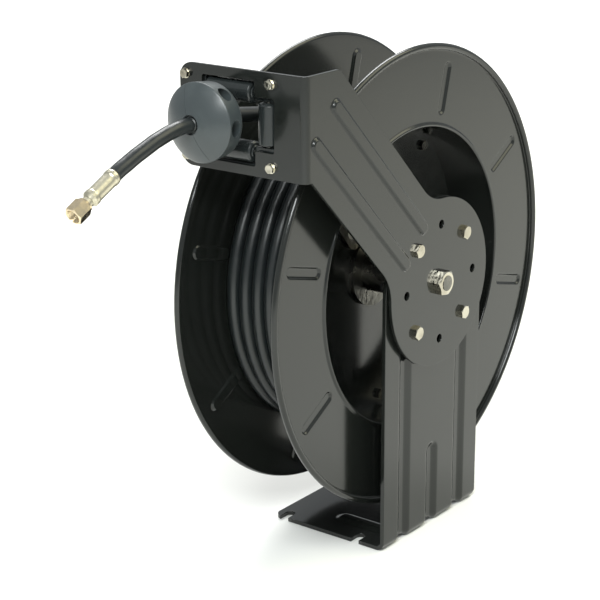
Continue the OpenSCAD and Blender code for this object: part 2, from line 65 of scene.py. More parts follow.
rimLow, rimHigh = nodeSpan("near_flange")
axleZ = (rimLow[2] + rimHigh[2]) / 2
rimRadius = (rimHigh[0] - rimLow[0]) / 2
footLow, footHigh = nodeSpan("pedestal")
armLow, armHigh = nodeSpan("guide_arm")
outletZ = nodeCentre("roller_frame")[2]
print(f"frame: axle at {axleZ:.1f} mm, rim radius {rimRadius:.1f} mm")


# the camera comes first, with the angles and the slide that frame the whole reel
cameraSet = {
    "azimuth": -52.51, "elevation": 17.85, "roll": -0.28,   # degrees
    "distance": 1.832, "slide": -0.0724, "lift": -0.0350,   # metres from the axle
    "lens": 104.55, "sensor": 36.0,
}


def addCamera(s):
    # looks at the middle of the axle from the given angles, then slides sideways and up
    a, e, r = (math.radians(s[k]) for k in ("azimuth", "elevation", "roll"))
    back = Vector((math.sin(a) * math.cos(e), -math.cos(a) * math.cos(e), math.sin(e)))
    right = Vector((math.cos(a), math.sin(a), 0))
    up = back.cross(right)
    right, up = right * math.cos(r) + up * math.sin(r), up * math.cos(r) - right * math.sin(r)
    eye = Vector((0, 0, axleZ * millimetre)) + back * s["distance"] + right * s["slide"] + up * s["lift"]
    data = bpy.data.cameras.new("studioCamera")
    data.lens = s["lens"]
    data.sensor_width = s["sensor"]
    data.clip_start, data.clip_end = 0.05, 60
    camera = bpy.data.objects.new("studioCamera", data)
    turn = Matrix((right, up, back)).transposed()
    camera.matrix_world = Matrix.Translation(eye) @ turn.to_4x4()
    bpy.context.collection.objects.link(camera)
    bpy.context.scene.camera = camera


addCamera(cameraSet)


# effects that several materials use, each a node group with its own inputs
def newGroup(name, inputs, outputs):
    group = bpy.data.node_groups.new(name, "ShaderNodeTree")
    for label, kind, value in inputs:
        socket = group.interface.new_socket(label, in_out="INPUT", socket_type=kind)
        if value is not None:
            socket.default_value = value
    for label, kind in outputs:
        group.interface.new_socket(label, in_out="OUTPUT", socket_type=kind)
    start = group.nodes.new("NodeGroupInput")
    end = group.nodes.new("NodeGroupOutput")
    return group, start, end


def addNode(tree, kind, links=(), **settings):
    # links pairs an input with either another node's output or a plain value
    node = tree.nodes.new(kind)
    for key, value in settings.items():
        setattr(node, key, value)
    for slot, source in dict(links).items():
        if isinstance(source, bpy.types.NodeSocket):
            tree.links.new(source, node.inputs[slot])
        else:
            node.inputs[slot].default_value = source
    return node


def remap(tree, value, fromLow, fromHigh, toLow, toHigh):
    return addNode(tree, "ShaderNodeMapRange", {
        "Value": value, "From Min": fromLow, "From Max": fromHigh,
        "To Min": toLow, "To Max": toHigh}).outputs["Result"]


def makePaintSkin():
    # sprayed enamel: fine orange peel, slow waviness and faint cloudy patches of dust
    group, start, end = newGroup(
        "paintSkin",
        [("Vector", "NodeSocketVector", None), ("Peel", "NodeSocketFloat", 420.0),
         ("Smooth", "NodeSocketFloat", 0.12), ("Dusty", "NodeSocketFloat", 0.3)],
        [("Height", "NodeSocketFloat"), ("Roughness", "NodeSocketFloat"), ("Dust", "NodeSocketFloat")])
    peel = addNode(group, "ShaderNodeTexNoise", {
        "Vector": start.outputs["Vector"], "Scale": start.outputs["Peel"], "Detail": 2.0})
    wave = addNode(group, "ShaderNodeTexNoise", {
        "Vector": start.outputs["Vector"], "Scale": 22.0, "Detail": 1.0})
    cloud = addNode(group, "ShaderNodeTexNoise", {
        "Vector": start.outputs["Vector"], "Scale": 8.0, "Detail": 3.0, "Roughness": 0.5})
    peelPart = addNode(group, "ShaderNodeMath", {0: peel.outputs["Fac"], 1: 0.16}, operation="MULTIPLY")
    height = addNode(group, "ShaderNodeMath", {
        0: wave.outputs["Fac"], 1: peelPart.outputs[0]}, operation="ADD")
    patch = remap(group, cloud.outputs["Fac"], 0.30, 0.75, 0.0, 1.0)
    haze = addNode(group, "ShaderNodeMath", {
        0: patch, 1: start.outputs["Dusty"]}, operation="MULTIPLY")
    rough = addNode(group, "ShaderNodeMath", {
        0: haze.outputs[0], 1: 0.12, 2: start.outputs["Smooth"]}, operation="MULTIPLY_ADD")
    group.links.new(height.outputs[0], end.inputs["Height"])
    group.links.new(rough.outputs[0], end.inputs["Roughness"])
    group.links.new(haze.outputs[0], end.inputs["Dust"])
    return group


def makeEdgeWear():
    # mask of exposed edges, broken up by noise
    group, start, end = newGroup(
        "edgeWear",
        [("Vector", "NodeSocketVector", None), ("Amount", "NodeSocketFloat", 0.5)],
        [("Mask", "NodeSocketFloat")])
    shape = addNode(group, "ShaderNodeNewGeometry")
    edge = remap(group, shape.outputs["Pointiness"], 0.53, 0.62, 0.0, 1.0)
    grit = addNode(group, "ShaderNodeTexNoise", {
        "Vector": start.outputs["Vector"], "Scale": 90.0, "Detail": 5.0})
    broken = remap(group, grit.outputs["Fac"], 0.45, 0.62, 0.0, 1.0)
    both = addNode(group, "ShaderNodeMath", {0: edge, 1: broken}, operation="MULTIPLY")
    mask = addNode(group, "ShaderNodeMath", {
        0: both.outputs[0], 1: start.outputs["Amount"]}, operation="MULTIPLY")
    group.links.new(mask.outputs[0], end.inputs["Mask"])
    return group


def makeTurnedMetal():
    # fine machining lines that run round the Y axis, and cloudy tarnish
    group, start, end = newGroup(
        "turnedMetal",
        [("Vector", "NodeSocketVector", None), ("Lines", "NodeSocketFloat", 900.0),
         ("Smooth", "NodeSocketFloat", 0.25)],
        [("Height", "NodeSocketFloat"), ("Roughness", "NodeSocketFloat"), ("Tarnish", "NodeSocketFloat"),
         ("Dent", "NodeSocketFloat")])
    stretch = addNode(group, "ShaderNodeVectorMath", {
        0: start.outputs["Vector"], 1: (0.15, 1.0, 0.15)}, operation="MULTIPLY")
    lines = addNode(group, "ShaderNodeTexNoise", {
        "Vector": stretch.outputs[0], "Scale": start.outputs["Lines"], "Detail": 3.0})
    cloud = addNode(group, "ShaderNodeTexNoise", {
        "Vector": start.outputs["Vector"], "Scale": 45.0, "Detail": 5.0})
    tarnish = remap(group, cloud.outputs["Fac"], 0.4, 0.7, 0.0, 1.0)
    rough = addNode(group, "ShaderNodeMath", {
        0: tarnish, 1: 0.15, 2: start.outputs["Smooth"]}, operation="MULTIPLY_ADD")
    group.links.new(lines.outputs["Fac"], end.inputs["Height"])
    group.links.new(rough.outputs[0], end.inputs["Roughness"])
    group.links.new(tarnish, end.inputs["Tarnish"])
    dent = addNode(group, "ShaderNodeTexNoise", {
        "Vector": start.outputs["Vector"], "Scale": 170.0, "Detail": 1.0})
    group.links.new(dent.outputs["Fac"], end.inputs["Dent"])
    return group


def makeMouldGrain():
    # fine grain of a moulded or extruded surface, with soft scuffs
    group, start, end = newGroup(
        "mouldGrain",
        [("Vector", "NodeSocketVector", None), ("Grain", "NodeSocketFloat", 700.0),
         ("Smooth", "NodeSocketFloat", 0.45)],
        [("Height", "NodeSocketFloat"), ("Roughness", "NodeSocketFloat"), ("Scuff", "NodeSocketFloat")])
    grain = addNode(group, "ShaderNodeTexNoise", {
        "Vector": start.outputs["Vector"], "Scale": start.outputs["Grain"], "Detail": 4.0})
    scuff = addNode(group, "ShaderNodeTexNoise", {
        "Vector": start.outputs["Vector"], "Scale": 30.0, "Detail": 6.0, "Roughness": 0.7})
    mark = remap(group, scuff.outputs["Fac"], 0.5, 0.75, 0.0, 1.0)
    rough = addNode(group, "ShaderNodeMath", {
        0: mark, 1: 0.2, 2: start.outputs["Smooth"]}, operation="MULTIPLY_ADD")
    group.links.new(grain.outputs["Fac"], end.inputs["Height"])
    group.links.new(rough.outputs[0], end.inputs["Roughness"])
    group.links.new(mark, end.inputs["Scuff"])
    return group


groups = {
    "paintSkin": makePaintSkin(),
    "edgeWear": makeEdgeWear(),
    "turnedMetal": makeTurnedMetal(),
    "mouldGrain": makeMouldGrain(),
}
print("shader groups made")


# materials: one for each finish of the frame
def startMaterial(name, **constants):
    material = bpy.data.materials.new(name)
    material.use_nodes = True
    tree = material.node_tree
    shader = tree.nodes["Principled BSDF"]
    for socket, value in constants.items():
        shader.inputs[socket.replace("_", " ")].default_value = value
    place = tree.nodes.new("ShaderNodeTexCoord").outputs["Object"]
    return material, tree, shader, place


def useGroup(tree, name, place, **values):
    links = {"Vector": place}
    links.update(values)
    node = tree.nodes.new("ShaderNodeGroup")
    node.node_tree = groups[name]
    for slot, source in links.items():
        if isinstance(source, bpy.types.NodeSocket):
            tree.links.new(source, node.inputs[slot])
        else:
            node.inputs[slot].default_value = source
    return node


def mixColours(tree, factor, first, second):
    node = addNode(tree, "ShaderNodeMix", data_type="RGBA")
    for slot, source in ((0, factor), (6, first), (7, second)):
        if isinstance(source, bpy.types.NodeSocket):
            tree.links.new(source, node.inputs[slot])
        else:
            node.inputs[slot].default_value = source if slot == 0 else (*source, 1.0)
    return node.outputs[2]


def bumpFrom(tree, shader, height, strength, distance):
    bump = addNode(tree, "ShaderNodeBump", {
        "Height": height, "Strength": strength, "Distance": distance})
    tree.links.new(bump.outputs["Normal"], shader.inputs["Normal"])


enamelSet = {
    "black": (0.0088, 0.0100, 0.0088), "dust": (0.0130, 0.0145, 0.0128), "edge": (0.05, 0.053, 0.050),
    "peel": 420.0, "smooth": 0.12, "dusty": 0.35, "bump": 0.08,
}


def makeEnamel(s):
    material, tree, shader, place = startMaterial("blackEnamel", IOR=1.5)
    skin = useGroup(tree, "paintSkin", place, Peel=s["peel"], Smooth=s["smooth"], Dusty=s["dusty"])
    wear = useGroup(tree, "edgeWear", place, Amount=0.15)
    dusty = mixColours(tree, skin.outputs["Dust"], s["black"], s["dust"])
    colour = mixColours(tree, wear.outputs["Mask"], dusty, s["edge"])
    tree.links.new(colour, shader.inputs["Base Color"])
    tree.links.new(skin.outputs["Roughness"], shader.inputs["Roughness"])
    bumpFrom(tree, shader, skin.outputs["Height"], s["bump"], 0.0006)
    return material


def makePlated(name, colour, tint, smooth, lines=900.0, dent=0.0):
    # zinc or brass plate: base metal colour drifting to a second tint, over shallow dents
    material, tree, shader, place = startMaterial(name, Metallic=1.0)
    metal = useGroup(tree, "turnedMetal", place, Lines=lines, Smooth=smooth)
    tree.links.new(mixColours(tree, metal.outputs["Tarnish"], colour, tint), shader.inputs["Base Color"])
    tree.links.new(metal.outputs["Roughness"], shader.inputs["Roughness"])
    bumpFrom(tree, shader, metal.outputs["Height"], 0.12, 0.0002)
    if dent:
        shallow = addNode(tree, "ShaderNodeBump", {
            "Height": metal.outputs["Dent"], "Strength": dent, "Distance": 0.002})
        tree.links.new(shallow.outputs["Normal"], shader.inputs["Normal"].links[0].from_node.inputs["Normal"])
    return material


def makeMoulded(name, colour, scuffed, smooth, grain=700.0, bump=0.15, **constants):
    # plastic or rubber: plain colour with paler scuffs
    material, tree, shader, place = startMaterial(name, **constants)
    skin = useGroup(tree, "mouldGrain", place, Grain=grain, Smooth=smooth)
    tree.links.new(mixColours(tree, skin.outputs["Scuff"], colour, scuffed), shader.inputs["Base Color"])
    tree.links.new(skin.outputs["Roughness"], shader.inputs["Roughness"])
    bumpFrom(tree, shader, skin.outputs["Height"], bump, 0.0003)
    return material


finishes = {
    "black_enamel": makeEnamel(enamelSet),
    "yellow_zinc": makePlated("yellowZinc", (0.55, 0.52, 0.43), (0.33, 0.30, 0.24), 0.13,
                              dent=0.3),
    "bright_zinc": makePlated("brightZinc", (0.17, 0.165, 0.15), (0.12, 0.12, 0.11), 0.26,
                              dent=0.3),
    "dark_steel": makePlated("darkSteel", (0.20, 0.20, 0.20), (0.12, 0.12, 0.125), 0.38),
    "spring_steel": makePlated("springSteel", (0.25, 0.27, 0.31), (0.14, 0.12, 0.11), 0.32),
    "bronze": makePlated("bronze", (0.55, 0.36, 0.17), (0.35, 0.22, 0.11), 0.35),
    "brass": makePlated("brass", (0.74, 0.58, 0.28), (0.52, 0.40, 0.20), 0.26),
    "plated_brass": makePlated("platedBrass", (0.74, 0.62, 0.42), (0.62, 0.50, 0.33), 0.16,
                               dent=0.08),
    "zinc_ferrule": makePlated("zincFerrule", (0.62, 0.58, 0.45), (0.54, 0.50, 0.38), 0.30),
    "black_nylon": makeMoulded("blackNylon", (0.014, 0.017, 0.017), (0.022, 0.025, 0.025), 0.22),
    "pale_nylon": makeMoulded("paleNylon", (0.62, 0.60, 0.52), (0.5, 0.47, 0.40), 0.45),
    "hose_rubber": makeMoulded("hoseRubber", (0.0085, 0.0110, 0.0114), (0.014, 0.017, 0.017), 0.29,
                               grain=1100.0, bump=0.02),
    "stop_rubber": makeMoulded("stopRubber", (0.038, 0.046, 0.048), (0.048, 0.058, 0.060), 0.31,
                               grain=800.0, bump=0.14),
    "seal_rubber": makeMoulded("sealRubber", (0.010, 0.010, 0.010), (0.02, 0.02, 0.02), 0.5),
}
slotOf = {row["node"]: row["material_slot"] for row in frame["record"]["subparts"]}
for nodeName, nodeObject in frame["nodes"].items():
    nodeObject.data.materials.clear()
    nodeObject.data.materials.append(finishes[slotOf[nodeName]])
print("materials made:", len(finishes))


# nets of points, and the pieces made from them; all lengths here are millimetres
def netFaces(rows, cols, wrapRows=False, wrapCols=False):
    # four indices for each cell of a net of points, as an array
    r = np.arange(rows if wrapRows else rows - 1)[:, None]
    c = np.arange(cols if wrapCols else cols - 1)[None, :]
    nextR, nextC = (r + 1) % rows, (c + 1) % cols
    cells = [r * cols + c, r * cols + nextC, nextR * cols + nextC, nextR * cols + c]
    return np.stack([cell.ravel() for cell in cells], 1)


def netPart(points, normals=None, wrapRows=False, wrapCols=False):
    # a net of shape rows x columns x 3 as one part: points, faces and normals
    rows, cols = points.shape[:2]
    faces = netFaces(rows, cols, wrapRows, wrapCols)
    flat = None if normals is None else normals.reshape(-1, 3)
    return points.reshape(-1, 3), faces, flat


def tidyPart(part):
    # joins points that coincide when normals aren't given, drops empty faces, turns faces outwards
    points, faces, normals = part
    faces = np.asarray(faces)
    if normals is None:
        _, first, same = np.unique(np.round(points, 4), axis=0, return_index=True, return_inverse=True)
        points = points[first]
        faces = same.reshape(-1)[faces]
    if faces.shape[1] == 4:
        a, b, c, d = faces.T
        tris = [np.stack([a, b, c], 1), np.stack([a, c, d], 1)]
        whole = (a != b) & (b != c) & (c != d) & (d != a) & (a != c) & (b != d)
        halves = np.concatenate([t[~whole] for t in tris])
        quads = faces[whole]
    else:
        halves, quads = faces, np.zeros((0, 4), int)
    halves = halves[(halves[:, 0] != halves[:, 1]) & (halves[:, 1] != halves[:, 2])
                    & (halves[:, 2] != halves[:, 0])]
    allTris = np.concatenate([halves, quads[:, [0, 1, 2]], quads[:, [0, 2, 3]]])
    corners = points[allTris]
    cross = np.cross(corners[:, 1] - corners[:, 0], corners[:, 2] - corners[:, 0])
    if (corners[:, 0] * cross).sum() < 0:     # the volume is negative when faces point inwards
        halves, quads, cross = halves[:, ::-1], quads[:, ::-1], -cross
    if normals is not None:
        mean = np.zeros_like(points)
        for k in range(3):
            np.add.at(mean, allTris[:, k], cross)
        normals = normals * np.where((mean * normals).sum(1) < 0, -1.0, 1.0)[:, None]
    return points, halves, quads, normals


def addPiece(name, parts, slot, body, replaces=(), sharp=None, bevel=None):
    # parts are joined into one mesh; sharp is an angle in degrees for parts without their own normals
    points, faces, normals, count = [], [], [], 0
    for part in parts:
        p, halves, quads, n = tidyPart(part)
        points.append(p)
        faces += (halves + count).tolist() + (quads + count).tolist()
        normals.append(n)
        count += len(p)
    mesh = bpy.data.meshes.new(name)
    mesh.from_pydata((np.concatenate(points) * millimetre).tolist(), [], faces)
    mesh.validate()
    mesh.polygons.foreach_set("use_smooth", [True] * len(mesh.polygons))
    if all(n is not None for n in normals):
        mesh.normals_split_custom_set_from_vertices(np.concatenate(normals).tolist())
    elif sharp is not None:
        mesh.set_sharp_from_angle(angle=math.radians(sharp))
    mesh.materials.append(finishes[slot])
    piece = bpy.data.objects.new(name, mesh)
    bpy.context.collection.objects.link(piece)
    if bevel:
        rounding = piece.modifiers.new("rounding", "BEVEL")
        rounding.width = bevel * millimetre
        rounding.segments = 2
        rounding.limit_method = "ANGLE"
        rounding.angle_limit = math.radians(28)
        rounding.harden_normals = True
    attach(piece, body)
    if replaces:
        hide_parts(*replaces)
    return piece


def unit(vectors):
    return vectors / np.maximum(np.linalg.norm(vectors, axis=-1, keepdims=True), 1e-12)


def smoothStep(value, low, high):
    t = np.clip((value - low) / (high - low), 0, 1)
    return t * t * (3 - 2 * t)


def arc(centre, radius, start, end, count):
    # points on a circle from one angle to another, in degrees
    turn = np.radians(np.linspace(start, end, count))
    return np.stack([centre[0] + radius * np.cos(turn), centre[1] + radius * np.sin(turn)], 1)


def roundedOutline(corners, radii, steps=4):
    # a closed outline whose corners become arcs: each arc touches both sides of its corner.
    # gives points and the normals of the arcs, which point away from the inside of the turn
    corners = np.asarray(corners, float)
    radii = np.broadcast_to(radii, len(corners))
    area = np.roll(corners, -1, 0) - corners
    clockwise = (corners[:, 0] * area[:, 1] - corners[:, 1] * area[:, 0]).sum() < 0
    outside = -1 if clockwise else 1
    points, normals = [], []
    for i, corner in enumerate(corners):
        before = corner - corners[i - 1]
        after = corners[(i + 1) % len(corners)] - corner
        before, after = before / np.linalg.norm(before), after / np.linalg.norm(after)
        turn = math.atan2(before[0] * after[1] - before[1] * after[0], before @ after)
        side = np.sign(turn)
        reach = radii[i] * math.tan(abs(turn) / 2)
        inward = side * np.array([-before[1], before[0]])
        centre = corner - before * reach + inward * radii[i]
        first = math.atan2(*(-inward)[::-1])
        angles = first + np.linspace(0, turn, steps + 1)
        spokes = np.stack([np.cos(angles), np.sin(angles)], 1)
        points.append(centre + radii[i] * spokes)
        normals.append(spokes * side * outside)
    return np.concatenate(points), np.concatenate(normals)


# which of x, y and z hold the two coordinates across an axis and the one along it
axisOrder = {"x": (1, 2, 0), "y": (2, 0, 1), "z": (0, 1, 2)}


def lathePart(profile, normals, centre, axis="y", count=96):
    # closed profile of (radius, along) turned about an axis through centre:
    # point = centre + radius * (cos t, sin t) across + along the axis
    t = np.linspace(0, 2 * np.pi, count, endpoint=False)
    order = axisOrder[axis]
    ring = np.zeros((len(profile), count, 3))
    lean = np.zeros_like(ring)
    for target, pair in ((ring, profile), (lean, normals)):
        target[..., order[0]] = pair[:, :1] * np.cos(t)
        target[..., order[1]] = pair[:, :1] * np.sin(t)
        target[..., order[2]] = pair[:, 1:]
    return netPart(ring + np.asarray(centre, float), lean, wrapRows=True, wrapCols=True)


def turned(corners, radii, centre, axis="y", count=96, steps=3):
    profile, normals = roundedOutline(corners, radii, steps)
    return lathePart(profile, normals, centre, axis, count)


def tubePart(path, radius, sides=24, ends=True):
    # circle carried along a path; the frame is carried from point to point without twist.
    # radius may change along the path; each closed end is flat with a narrow bevel
    path = np.asarray(path, float)
    radius = np.broadcast_to(np.asarray(radius, float), len(path)).copy()
    heading = unit(np.gradient(path, axis=0))
    side = np.cross(heading[0], [0.0, 1.0, 0.0])
    if np.linalg.norm(side) < 0.1:
        side = np.cross(heading[0], [1.0, 0.0, 0.0])
    sides3 = np.zeros_like(path)
    for i in range(len(path)):
        side = side - heading[i] * (side @ heading[i])
        side = side / np.linalg.norm(side)
        sides3[i] = side
    if ends:
        rim = 0.12     # width of the bevel at each end, as a share of the radius
        path = np.concatenate([path[:1], path[:1], path, path[-1:], path[-1:]])
        heading = np.concatenate([heading[:1], heading[:1], heading, heading[-1:], heading[-1:]])
        sides3 = np.concatenate([sides3[:1], sides3[:1], sides3, sides3[-1:], sides3[-1:]])
        radius = np.concatenate([[0.0], [radius[0] * (1 - rim)], radius, [radius[-1] * (1 - rim)], [0.0]])
        path[2] = path[2] + heading[2] * rim * radius[2]
        path[-3] = path[-3] - heading[-3] * rim * radius[-3]
    t = np.linspace(0, 2 * np.pi, sides, endpoint=False)
    across = np.cross(heading, sides3)
    spokes = sides3[:, None] * np.cos(t)[None, :, None] + across[:, None] * np.sin(t)[None, :, None]
    points = path[:, None] + spokes * radius[:, None, None]
    return netPart(points, wrapCols=True)


def insideLoops(points, loops):
    # True for points inside the outer loop and outside the holes, by counting crossed edges
    inside = np.zeros(len(points), bool)
    for loop in loops:
        a, b = loop, np.roll(loop, -1, 0)
        rise = (a[None, :, 1] > points[:, None, 1]) != (b[None, :, 1] > points[:, None, 1])
        slope = (b[:, 0] - a[:, 0]) / np.where(b[:, 1] == a[:, 1], 1e-12, b[:, 1] - a[:, 1])
        crossing = a[None, :, 0] + (points[:, None, 1] - a[None, :, 1]) * slope[None]
        inside ^= ((points[:, None, 0] < crossing) & rise).sum(1) % 2 == 1
    return inside


def denseLoop(loop, step):
    # adds points to the long sides of a closed loop
    result = []
    for a, b in zip(loop, np.roll(loop, -1, 0)):
        count = max(1, int(np.ceil(np.linalg.norm(b - a) / step)))
        result.append(a + (b - a) * np.linspace(0, 1, count, endpoint=False)[:, None])
    return np.concatenate(result)


def platePart(loops, seeds, place, thickness, edge=0.5, step=6.0):
    # a plate with rounded edges: the outline is filled with triangles, and place(u, v, depth)
    # puts each point on the plate's outer face or below it. Both faces use the same triangles,
    # and each edge is a row of quads that follows a quarter circle at both faces
    loops = [denseLoop(np.asarray(loop, float), step) for loop in loops]
    outward = []
    for k, loop in enumerate(loops):
        along = np.roll(loop, -1, 0) - np.roll(loop, 1, 0)
        normal = unit(np.stack([along[:, 1], -along[:, 0]], 1))
        area = (loop[:, 0] * np.roll(loop[:, 1], -1) - loop[:, 1] * np.roll(loop[:, 0], -1)).sum()
        outward.append(normal * (1 if (area > 0) == (k == 0) else -1))
    inner = [loop - edge * normal for loop, normal in zip(loops, outward)]
    seeds = np.asarray(seeds, float)
    keep = insideLoops(seeds, inner)
    for loop in inner:
        gap = np.abs(seeds[:, None] - loop[None]).max(-1).min(1)
        keep &= gap > 0.45
    seeds = seeds[keep]
    flat = np.concatenate(inner + [seeds])
    edges, first = [], 0
    for loop in inner:
        index = np.arange(len(loop))
        edges += np.stack([first + index, first + (index + 1) % len(loop)], 1).tolist()
        first += len(loop)
    found = delaunay_2d_cdt([Vector(p) for p in flat], edges, [], 0, 1e-5)
    flat2 = np.array([tuple(v) for v in found[0]])
    tris = np.array(found[2])
    tris = tris[insideLoops(flat2[tris].mean(1), inner)]
    fromInput = np.full(len(flat), -1)
    for output, sources in enumerate(found[3]):
        for source in sources:
            fromInput[source] = output
    count = len(flat2)
    small = 0.05

    def faceNormal(uv, depth):
        du = place(uv[:, 0] + small, uv[:, 1], depth) - place(uv[:, 0] - small, uv[:, 1], depth)
        dv = place(uv[:, 0], uv[:, 1] + small, depth) - place(uv[:, 0], uv[:, 1] - small, depth)
        return unit(np.cross(du, dv)), unit(du), unit(dv)

    depths = np.full(count, 0.0), np.full(count, float(thickness))
    points = [place(flat2[:, 0], flat2[:, 1], d) for d in depths]
    normals = [faceNormal(flat2, d)[0] for d in depths]
    middle = place(flat2[:, 0], flat2[:, 1], np.full(count, thickness / 2))
    normals = [n * np.sign(((p - middle) * n).sum(1))[:, None] for n, p in zip(normals, points)]
    faces = [tris, tris[:, ::-1] + count]
    total = 2 * count
    turn = np.radians([22.5, 45, 67.5, 90])
    rings = [(np.sin(a), 1 - np.cos(a), np.cos(a)) for a in turn]
    first = 0
    for loop, normal in zip(inner, outward):
        n = len(loop)
        start = fromInput[first:first + n]
        rows, slopes, ids = [], [], [start]
        order = [(o, d * edge, c, 0) for o, d, c in rings]
        order += [(o, thickness - d * edge, c, 1) for o, d, c in reversed(rings)]
        for out, depth, lean, side in order:
            uv = loop + normal * edge * out
            depthRow = np.full(n, depth)
            p = place(uv[:, 0], uv[:, 1], depthRow)
            face, du, dv = faceNormal(uv, depthRow)
            sideways = unit(du * normal[:, :1] + dv * normal[:, 1:])
            up = unit(points[side][start] - middle[start])
            rows.append(p)
            slopes.append(unit(up * lean + sideways * out))
            ids.append(total + np.arange(n))
            total += n
        points += rows
        normals += slopes
        ids.append(start + count)
        for low, high in zip(ids[:-1], ids[1:]):
            quad = np.stack([low, np.roll(low, -1), np.roll(high, -1), high], 1)
            faces += [quad[:, [0, 1, 2]], quad[:, [0, 2, 3]]]
        first += n
    return orientByNormals(np.concatenate(points), np.concatenate(faces), np.concatenate(normals))


def orientByNormals(points, faces, normals):
    # turns each triangle to agree with the normals of its corners
    corner = points[faces]
    cross = np.cross(corner[:, 1] - corner[:, 0], corner[:, 2] - corner[:, 0])
    wrong = (cross * normals[faces].sum(1)).sum(1) < 0
    faces = np.where(wrong[:, None], faces[:, ::-1], faces)
    return points, faces, normals


def gridSeeds(low, high, step):
    u = np.arange(low[0] + step / 2, high[0], step)
    v = np.arange(low[1] + step / 2, high[1], step)
    # every other row is shifted by half a step, which makes even triangles
    uu, vv = np.meshgrid(u, v)
    uu = uu + (np.arange(len(v)) % 2)[:, None] * step / 2
    return np.stack([uu.ravel(), vv.ravel()], 1)


def barSeeds(start, end, across, along):
    # points along a pressed bar: rows at the given distances to each side, and rings at its round ends
    start, end = np.asarray(start, float), np.asarray(end, float)
    way = (end - start) / np.linalg.norm(end - start)
    side = np.array([-way[1], way[0]])
    t = np.linspace(0, 1, max(2, int(np.linalg.norm(end - start) / along) + 1))
    rows = [start + (end - start) * t[:, None] + side * a for a in across]
    for centre, facing in ((start, -way), (end, way)):
        turn = np.radians(np.linspace(-80, 80, 11))
        for a in across:
            if a > 0:
                spoke = facing * np.cos(turn)[:, None] + side * np.sin(turn)[:, None]
                rows.append(centre + a * spoke)
    return np.concatenate(rows)


def barDistance(u, v, start, end):
    # distance from a straight line that ends at two points
    start, end = np.asarray(start, float), np.asarray(end, float)
    way = end - start
    t = np.clip(((u - start[0]) * way[0] + (v - start[1]) * way[1]) / (way @ way), 0, 1)
    return np.hypot(u - start[0] - t * way[0], v - start[1] - t * way[1])


def circleLoop(centre, radius, count=32):
    return arc(centre, radius, 0, 360 * (1 - 1 / count), count)


def clearOf(seeds, bars, gap):
    keep = np.ones(len(seeds), bool)
    for start, end in bars:
        keep &= barDistance(seeds[:, 0], seeds[:, 1], start, end) > gap
    return seeds[keep]


def hexPart(flats, low, high, centre, turn=0.0, lowBevel=True, highBevel=True, bore=0.0, axis="y"):
    # hexagonal prism: radius of the side = half flats / cos(angle to the nearest flat), and a
    # 30 degree cone cuts its corners, so each column has its own height where cone meets side
    t = np.radians(np.arange(0, 360, 5))
    side = flats / 2 / np.cos((t + np.pi / 6) % (np.pi / 3) - np.pi / 6)
    face = flats / 2 * 0.95
    drop = (side - face) * math.tan(math.radians(30))
    rows = []
    inner = np.full_like(t, bore)
    if lowBevel:
        rows += [(inner, low + 0 * t), (np.full_like(t, face), low + 0 * t), (side, low + drop)]
    else:
        rows += [(inner, low + 0 * t), (side, low + 0 * t)]
    if highBevel:
        rows += [(side, high - drop), (np.full_like(t, face), high + 0 * t), (inner, high + 0 * t)]
    else:
        rows += [(side, high + 0 * t), (inner, high + 0 * t)]
    order = axisOrder[axis]
    points = np.zeros((len(rows), len(t), 3))
    angle = t + math.radians(turn)
    for i, (radius, along) in enumerate(rows):
        points[i, :, order[0]] = radius * np.cos(angle)
        points[i, :, order[1]] = radius * np.sin(angle)
        points[i, :, order[2]] = along
    return netPart(points + np.asarray(centre, float), wrapRows=bore > 0, wrapCols=True)


def threadPart(radius, pitch, low, high, centre, axis="y", depth=None, bevel=1.0):
    # threaded rod: radius = outer - depth * |saw(along / pitch - angle)|, with bevelled ends
    depth = 0.55 * pitch if depth is None else depth
    t = np.linspace(0, 2 * np.pi, 48, endpoint=False)
    z = np.linspace(low, high, max(8, int((high - low) / pitch * 8)))
    wave = (z[:, None] / pitch - t[None] / (2 * np.pi)) % 1.0
    r = radius - depth * np.abs(2 * wave - 1)
    fade = np.minimum(z - low, high - z)[:, None]
    r = np.minimum(r, radius - bevel + np.minimum(fade, bevel))
    z = np.concatenate([[low], z, [high]])
    r = np.concatenate([np.zeros((1, len(t))), r, np.zeros((1, len(t)))])
    order = axisOrder[axis]
    points = np.zeros((len(z), len(t), 3))
    points[..., order[0]] = r * np.cos(t)
    points[..., order[1]] = r * np.sin(t)
    points[..., order[2]] = z[:, None]
    return netPart(points + np.asarray(centre, float), wrapCols=True)


def onCircle(radius, degrees, y=0.0):
    # a point round the axle, by its angle turned up from +X
    a = math.radians(degrees)
    return np.array([radius * math.cos(a), y, axleZ + radius * math.sin(a)])


# the free end of the hose, from the front of the stop to the ferrule
hoseSet = {
    "radius": 7.0, "length": 0.104, "sides": 32,
    "route": [(-280.6, 472), (-284, 472), (-291.5, 471.8), (-298, 471.3), (-304, 470.4), (-310, 469.4),
              (-316, 468), (-322, 466.5), (-328, 465), (-334, 463), (-340, 461), (-346, 459), (-352, 457),
              (-358, 454.7), (-364, 452.3), (-370, 450.1), (-375, 448), (-380, 445.5)],
}


def smoothRoute(points, count):
    # even points on a smooth curve through the given ones, by cubic pieces with shared slopes
    points = np.asarray(points, float)
    at = np.concatenate([[0], np.cumsum(np.linalg.norm(np.diff(points, axis=0), axis=1))])
    slope = np.gradient(points, at, axis=0)
    wanted = np.linspace(0, at[-1], count)
    k = np.clip(np.searchsorted(at, wanted) - 1, 0, len(points) - 2)
    gap = (at[k + 1] - at[k])[:, None]
    t = ((wanted - at[k]))[:, None] / gap
    h = (2 * t**3 - 3 * t**2 + 1, t**3 - 2 * t**2 + t, -2 * t**3 + 3 * t**2, t**3 - t**2)
    return h[0] * points[k] + h[1] * gap * slope[k] + h[2] * points[k + 1] + h[3] * gap * slope[k + 1]


